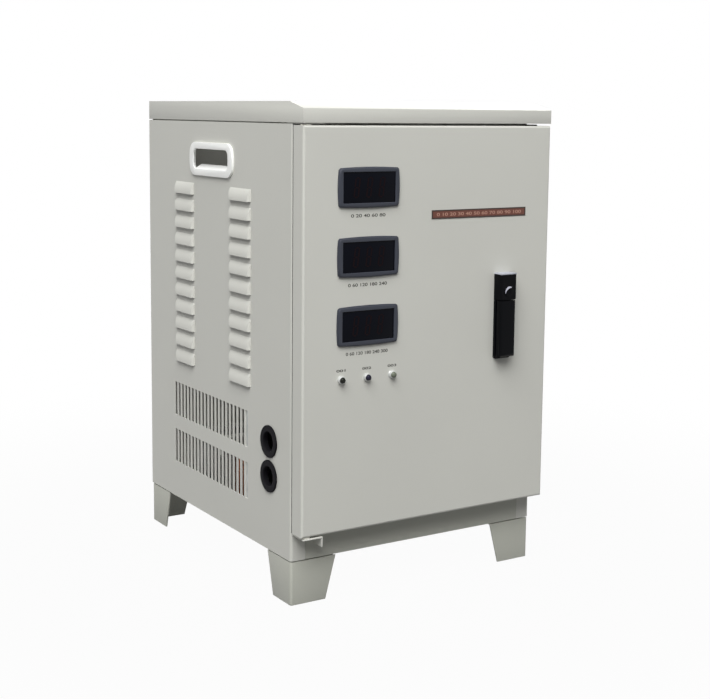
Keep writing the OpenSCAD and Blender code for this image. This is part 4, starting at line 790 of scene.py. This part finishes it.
class STABILIZER_OT_lamps(FinishOperator, bpy.types.Operator):
    """Turn the chrome lamp bezels and set a lens in each"""

    bl_idname = "stabilizer.lamps"
    bl_label = "Indicator lamps"

    def execute(self, context):
        radius, across = lamp_places()
        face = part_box("door_panel")[0].y
        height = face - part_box("lamp_bezels")[0].y
        seat = radius * LENS_SEAT
        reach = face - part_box("lamp_lenses")[0].y + sizes().lens_reach
        bezel = [(radius * out, height * up) for out, up in BEZEL_OUTLINE]
        dome = [(seat * out, reach * up) for out, up in DOME_CURVE]
        dome += [(seat, height * LENS_COLLAR), (seat, height * LENS_FOOT), (0, height * LENS_FOOT)]
        keys = ("lens_one", "lens_two", "lens_three")
        for number, (x, key) in enumerate(zip(across, keys), start=1):
            place = Vector((x, face, centre_of("lamp_bezels").z))
            ring = facing_front(lathe(bezel), place)
            put(ring, f"lamp_bezel_{number}", material("chrome"), "door")
            lens = facing_front(lathe(dome), place)
            put(lens, f"lamp_lens_{number}", material(key), "door", replaced=["lamp_lenses"])
        return {"FINISHED"}


STRIP_WORDS = "0 10 20 30 40 50 60 70 80 90 100"
# The line of numbers, in shares of the strip's width and height
STRIP_WORDS_WIDTH = 0.9
STRIP_WORDS_HEIGHT = 0.38
STRIP_INK_RISE = 0.05 * MM
FILM_SINK = 0.1 * MM


class STABILIZER_OT_printed_strip(FinishOperator, bpy.types.Operator):
    """Lay the film of the printed strip inside its border"""

    bl_idname = "stabilizer.printed_strip"
    bl_label = "Printed strip"

    def execute(self, context):
        low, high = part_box("printed_strip")
        edge = sizes().strip_border
        bm = bmesh.new()
        front, back = low.y - FILM_RISE, low.y + FILM_SINK
        box_shape(bm, (low.x + edge, front, low.z + edge), (high.x - edge, back, high.z - edge))
        put(bm, "printed_strip_film", material("strip"), "door")
        middle = centre_of("printed_strip")
        middle.y = low.y - STRIP_INK_RISE
        width, height = (high.x - low.x) * STRIP_WORDS_WIDTH, (high.z - low.z) * STRIP_WORDS_HEIGHT
        bm = printed(STRIP_WORDS, width, height, middle, "strip_numbers")
        put(bm, "printed_strip_numbers", material("strip_ink"), "door")
        return {"FINISHED"}


SCALES = (
    ("meter_upper", "0 20 40 60 80", 53.0 * MM),
    ("meter_middle", "0 60 120 180 240", 60.0 * MM),
    ("meter_lower", "0 60 120 180 240 300", 65.0 * MM),
)


class STABILIZER_OT_marks(FinishOperator, bpy.types.Operator):
    """Print plain ranges under the meters and plain numbers over the lamps"""

    bl_idname = "stabilizer.marks"
    bl_label = "Printed marks"

    def execute(self, context):
        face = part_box("door_panel")[0].y - sizes().ink_thickness
        for node, words, width in SCALES:
            place = Vector((centre_of(node).x, face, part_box(node)[0].z - sizes().mark_drop))
            bm = printed(words, width, sizes().mark_height, place, node + "_scale")
            put(bm, node + "_scale", material("ink"), "door")
        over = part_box("lamp_bezels")[1].z + sizes().lamp_mark_gap
        width, height = sizes().lamp_mark_width, sizes().lamp_mark_height
        for number, x in enumerate(lamp_places()[1], start=1):
            name = f"lamp_mark_{number}"
            bm = printed(f"00{number}", width, height, Vector((x, face, over)), name)
            put(bm, name, material("ink"), "door")
        return {"FINISHED"}


# Rounding of the lock's lesser pieces, in shares of the lock's own edge
HANDLE_EDGE = 0.8
CAP_HIGHLIGHT_EDGE = 0.8
BUTTON_EDGE = 0.5
# Corners that belong to an end face lie this near it, in edge radii
END_REACH = 1.05
# The painted highlight crescent on the lock's button: shares of the button's radius, and degrees from the
# right
CRESCENT_OUTER = 0.96
CRESCENT_INNER = 0.56
CRESCENT_START = 58
CRESCENT_SWEEP = 140
CRESCENT_STEPS = 14
# Its width follows a half wave between these shares of the wave
CRESCENT_TIP = 0.12
CRESCENT_TAIL = 0.94


class STABILIZER_OT_lock(FinishOperator, bpy.types.Operator):
    """Round the lock's base, button and swing-out handle, and add a pale cap on the base and a pale crescent
    on the button as painted highlights
    """

    bl_idname = "stabilizer.lock"
    bl_label = "Swing-handle lock"

    def execute(self, context):
        edge, trim, rise = sizes().lock_edge, sizes().lock_trim, sizes().mark_rise
        # Painted highlights: the base's upper end is drawn back for a pale cap, and the button's face for a
        # pale crescent
        self.pulled_node("lock_base", edge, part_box("lock_base")[1], Vector((0, 0, -trim)))
        rounded_node("lock_handle", edge * HANDLE_EDGE, material("lock"))
        self.pulled_node("lock_button", edge * BUTTON_EDGE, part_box("lock_button")[0], Vector((0, rise, 0)))
        self.end_trim(trim, edge * CAP_HIGHLIGHT_EDGE)
        self.turn_mark(rise)
        return {"FINISHED"}

    def pulled_node(self, node, edge, end, pull):
        """A rounded copy of a node whose end face is drawn back to make room for a painted highlight piece."""
        bm = soften(welded_copy(node), edge)
        axis = max(range(3), key=lambda number: abs(pull[number]))
        near = [v for v in bm.verts if abs(v.co[axis] - end[axis]) < edge * END_REACH]
        bmesh.ops.translate(bm, vec=pull, verts=near)
        put(bm, node + "_piece", material("lock"), body_of(node), replaced=[node])

    def end_trim(self, height, edge):
        """A pale cap on the upper end of the lock: a painted highlight for the light on its top end."""
        low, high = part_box("lock_base")
        bm = bmesh.new()
        box_shape(bm, (low.x, low.y, high.z - height), high)
        soften(bm, edge)
        put(bm, "lock_end_trim", material("lock_trim"), body_of("lock_base"))

    def turn_mark(self, rise):
        """A pale crescent near the upper left rim of the button, which narrows to both ends: a painted
        highlight for the light on the rim.
        """
        low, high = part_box("lock_button")
        radius = (high.x - low.x) / 2
        outer, inner = radius * CRESCENT_OUTER, radius * CRESCENT_INNER
        bm = bmesh.new()
        rows = []
        for step in range(CRESCENT_STEPS + 1):
            share = step / CRESCENT_STEPS
            angle = math.radians(CRESCENT_START + CRESCENT_SWEEP * share)
            wave = CRESCENT_TIP + (CRESCENT_TAIL - CRESCENT_TIP) * share
            width = (outer - inner) * math.sin(math.pi * wave)
            ways = (outer, outer - width)
            rows.append([bm.verts.new((way * math.cos(angle), way * math.sin(angle), 0)) for way in ways])
        for one, two in zip(rows, rows[1:]):
            bm.faces.new((one[0], two[0], two[1], one[1]))
        raised = bmesh.ops.extrude_face_region(bm, geom=bm.faces[:])["geom"]
        top = [part for part in raised if isinstance(part, bmesh.types.BMVert)]
        bmesh.ops.translate(bm, vec=(0, 0, rise), verts=top)
        place = centre_of("lock_button")
        place.y = low.y + rise
        facing_front(bm, place)
        bmesh.ops.recalc_face_normals(bm, faces=bm.faces)
        put(bm, "lock_button_mark", material("lock_mark"), body_of("lock_button"))


class STABILIZER_OT_grommets(FinishOperator, bpy.types.Operator):
    """Round the cable grommets"""

    bl_idname = "stabilizer.grommets"
    bl_label = "Cable grommets"

    def execute(self, context):
        for node in ("cable_grommet_upper", "cable_grommet_lower"):
            rounded_node(node, sizes().rubber_edge, material("rubber"), segments=2)
        return {"FINISHED"}


# Stage

LAMP_TARGET = Vector((0, 0, 0.35))
KEY_PLACE = Vector((-2.55, -2.75, 5.0))
FRONT_PLACE = Vector((0.8, -2.6, 4.6))
FRONT_SIZE = 1.8
REAR_PLACE = Vector((2.8, 3.2, 1.5))
REAR_SIZE = 2.6
INSIDE_SIZE = 0.03
INSIDE_DROP = 0.04
INSIDE_BACK = 0.05
FLOOR_RADIUS = 14.0
FLOOR_TONE = (0.12, 0.12, 0.12, 1)
# The floor is this bright under the object, and white from the far end of the fade
FLOOR_GLOW = 0.965
FADE_START = 0.35
FADE_END = 1.3


def camera_turn():
    """Rotation of a camera that looks at the object from its azimuth and elevation, with its roll."""
    azimuth, elevation, roll = stage().azimuth, stage().elevation, stage().roll
    level = math.cos(elevation)
    back = Vector((math.sin(azimuth) * level, -math.cos(azimuth) * level, math.sin(elevation)))
    right = Vector((0, 0, 1)).cross(back).normalized()
    up = back.cross(right)
    right, up = math.cos(roll) * right + math.sin(roll) * up, math.cos(roll) * up - math.sin(roll) * right
    return Matrix((right, up, back)).transposed()


def area_lamp(name, power, size, place):
    data = bpy.data.lights.new(name, "AREA")
    data.energy = power
    data.size = size
    lamp = bpy.data.objects.new(name, data)
    bpy.context.scene.collection.objects.link(lamp)
    lamp.location = place
    lamp.rotation_euler = (place - LAMP_TARGET).to_track_quat("Z", "Y").to_euler()


class STABILIZER_OT_stage(FinishOperator, bpy.types.Operator):
    """Set the floor, the even light, the lamps and the camera"""

    bl_idname = "stabilizer.stage"
    bl_label = "Stage"

    def execute(self, context):
        self.floor(context.scene)
        self.world(context.scene)
        area_lamp("Key_lamp", stage().key, stage().key_size, KEY_PLACE)
        area_lamp("Front_lamp", stage().front, FRONT_SIZE, FRONT_PLACE)
        area_lamp("Rear_lamp", stage().rear, REAR_SIZE, REAR_PLACE)
        self.inside_lamp(context.scene)
        self.camera(context.scene)
        context.scene.view_settings.view_transform = "Standard"
        return {"FINISHED"}

    def floor(self, scene):
        """A floor that shows white to the camera away from the object, and keeps the object's shadow."""
        bm = bmesh.new()
        bmesh.ops.create_circle(bm, cap_ends=True, segments=64, radius=FLOOR_RADIUS)
        mesh = bpy.data.meshes.new("Floor")
        bm.to_mesh(mesh)
        bm.free()
        floor = bpy.data.objects.new("Floor", mesh)
        scene.collection.objects.link(floor)
        cover = Finish("Studio_floor")
        cover.hold("Base Color", FLOOR_TONE)
        cover.hold("Roughness", 0.9)
        cover.hold("Specular IOR Level", 0.1)
        glow = cover.add("ShaderNodeEmission")
        glow.inputs["Color"].default_value = WHITE
        reach = cover.add("ShaderNodeVectorMath", operation="LENGTH")
        cover.join(cover.place, reach.inputs[0])
        fade = cover.spread(
            reach.outputs["Value"], FLOOR_GLOW, 1.0, start=FADE_START, end=FADE_END, shape="SMOOTHSTEP"
        )
        seen = cover.math("MULTIPLY", cover.background_share(), fade)
        cover.show(seen, cover.shader.outputs[0], glow.outputs[0], "Material Output")
        wear(floor, cover.material)

    def world(self, scene):
        """An even light, which the camera, gloss and glass see as plain white."""
        scene.world = bpy.data.worlds.new("Studio")
        scene.world.use_nodes = True
        sky = Tree(scene.world.node_tree)
        light = sky.tree.nodes["Background"]
        light.inputs["Color"].default_value = WHITE
        light.inputs["Strength"].default_value = stage().sky
        seen = sky.add("ShaderNodeBackground")
        seen.inputs["Color"].default_value = WHITE
        seen.inputs["Strength"].default_value = 1.0
        sky.show(sky.background_share(), light.outputs[0], seen.outputs[0], "World Output")

    def inside_lamp(self, scene):
        """A faint fill under the lid, so that the space behind the openings isn't pitch black."""
        data = bpy.data.lights.new("Inside_lamp", "POINT")
        data.energy = stage().inside
        data.shadow_soft_size = INSIDE_SIZE
        lamp = bpy.data.objects.new("Inside_lamp", data)
        scene.collection.objects.link(lamp)
        lamp.location = (0, INSIDE_BACK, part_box("lid_gasket")[0].z - INSIDE_DROP)
        lamp.visible_camera = False

    def camera(self, scene):
        data = bpy.data.cameras.new("Camera")
        data.sensor_width = 36.0
        data.lens = stage().lens
        data.shift_y = stage().shift
        data.clip_start, data.clip_end = 0.05, 50.0
        camera = bpy.data.objects.new("Camera", data)
        scene.collection.objects.link(camera)
        camera.matrix_world = Matrix.Translation(stage().place) @ camera_turn().to_4x4()
        scene.camera = camera


# Add-on

STEPS = (
    STABILIZER_OT_finish_nodes,
    STABILIZER_OT_sheet_folds,
    STABILIZER_OT_carry_handles,
    STABILIZER_OT_meters,
    STABILIZER_OT_lamps,
    STABILIZER_OT_printed_strip,
    STABILIZER_OT_marks,
    STABILIZER_OT_lock,
    STABILIZER_OT_grommets,
    STABILIZER_OT_stage,
)

GROUPS = (
    ("stabilizer_colours", StabilizerColours),
    ("stabilizer_sizes", StabilizerSizes),
    ("stabilizer_stage", StabilizerStage),
)


class STABILIZER_PT_panel(bpy.types.Panel):
    bl_label = "Stabilizer"
    bl_idname = "STABILIZER_PT_panel"
    bl_space_type = "VIEW_3D"
    bl_region_type = "UI"
    bl_category = "Stabilizer"

    def draw(self, context):
        for name, group in GROUPS:
            for setting in group.__annotations__:
                self.layout.prop(getattr(context.scene, name), setting)
        for step in STEPS:
            self.layout.operator(step.bl_idname)


def register():
    for name, group in GROUPS:
        bpy.utils.register_class(group)
        setattr(bpy.types.Scene, name, bpy.props.PointerProperty(type=group))
    for step in STEPS:
        bpy.utils.register_class(step)
    bpy.utils.register_class(STABILIZER_PT_panel)


def unregister():
    bpy.utils.unregister_class(STABILIZER_PT_panel)
    for step in reversed(STEPS):
        bpy.utils.unregister_class(step)
    for name, group in reversed(GROUPS):
        delattr(bpy.types.Scene, name)
        bpy.utils.unregister_class(group)


def main():
    register()
    for step in STEPS:
        area, call = step.bl_idname.split(".")
        getattr(getattr(bpy.ops, area), call)()


if __name__ == "__main__":
    main()
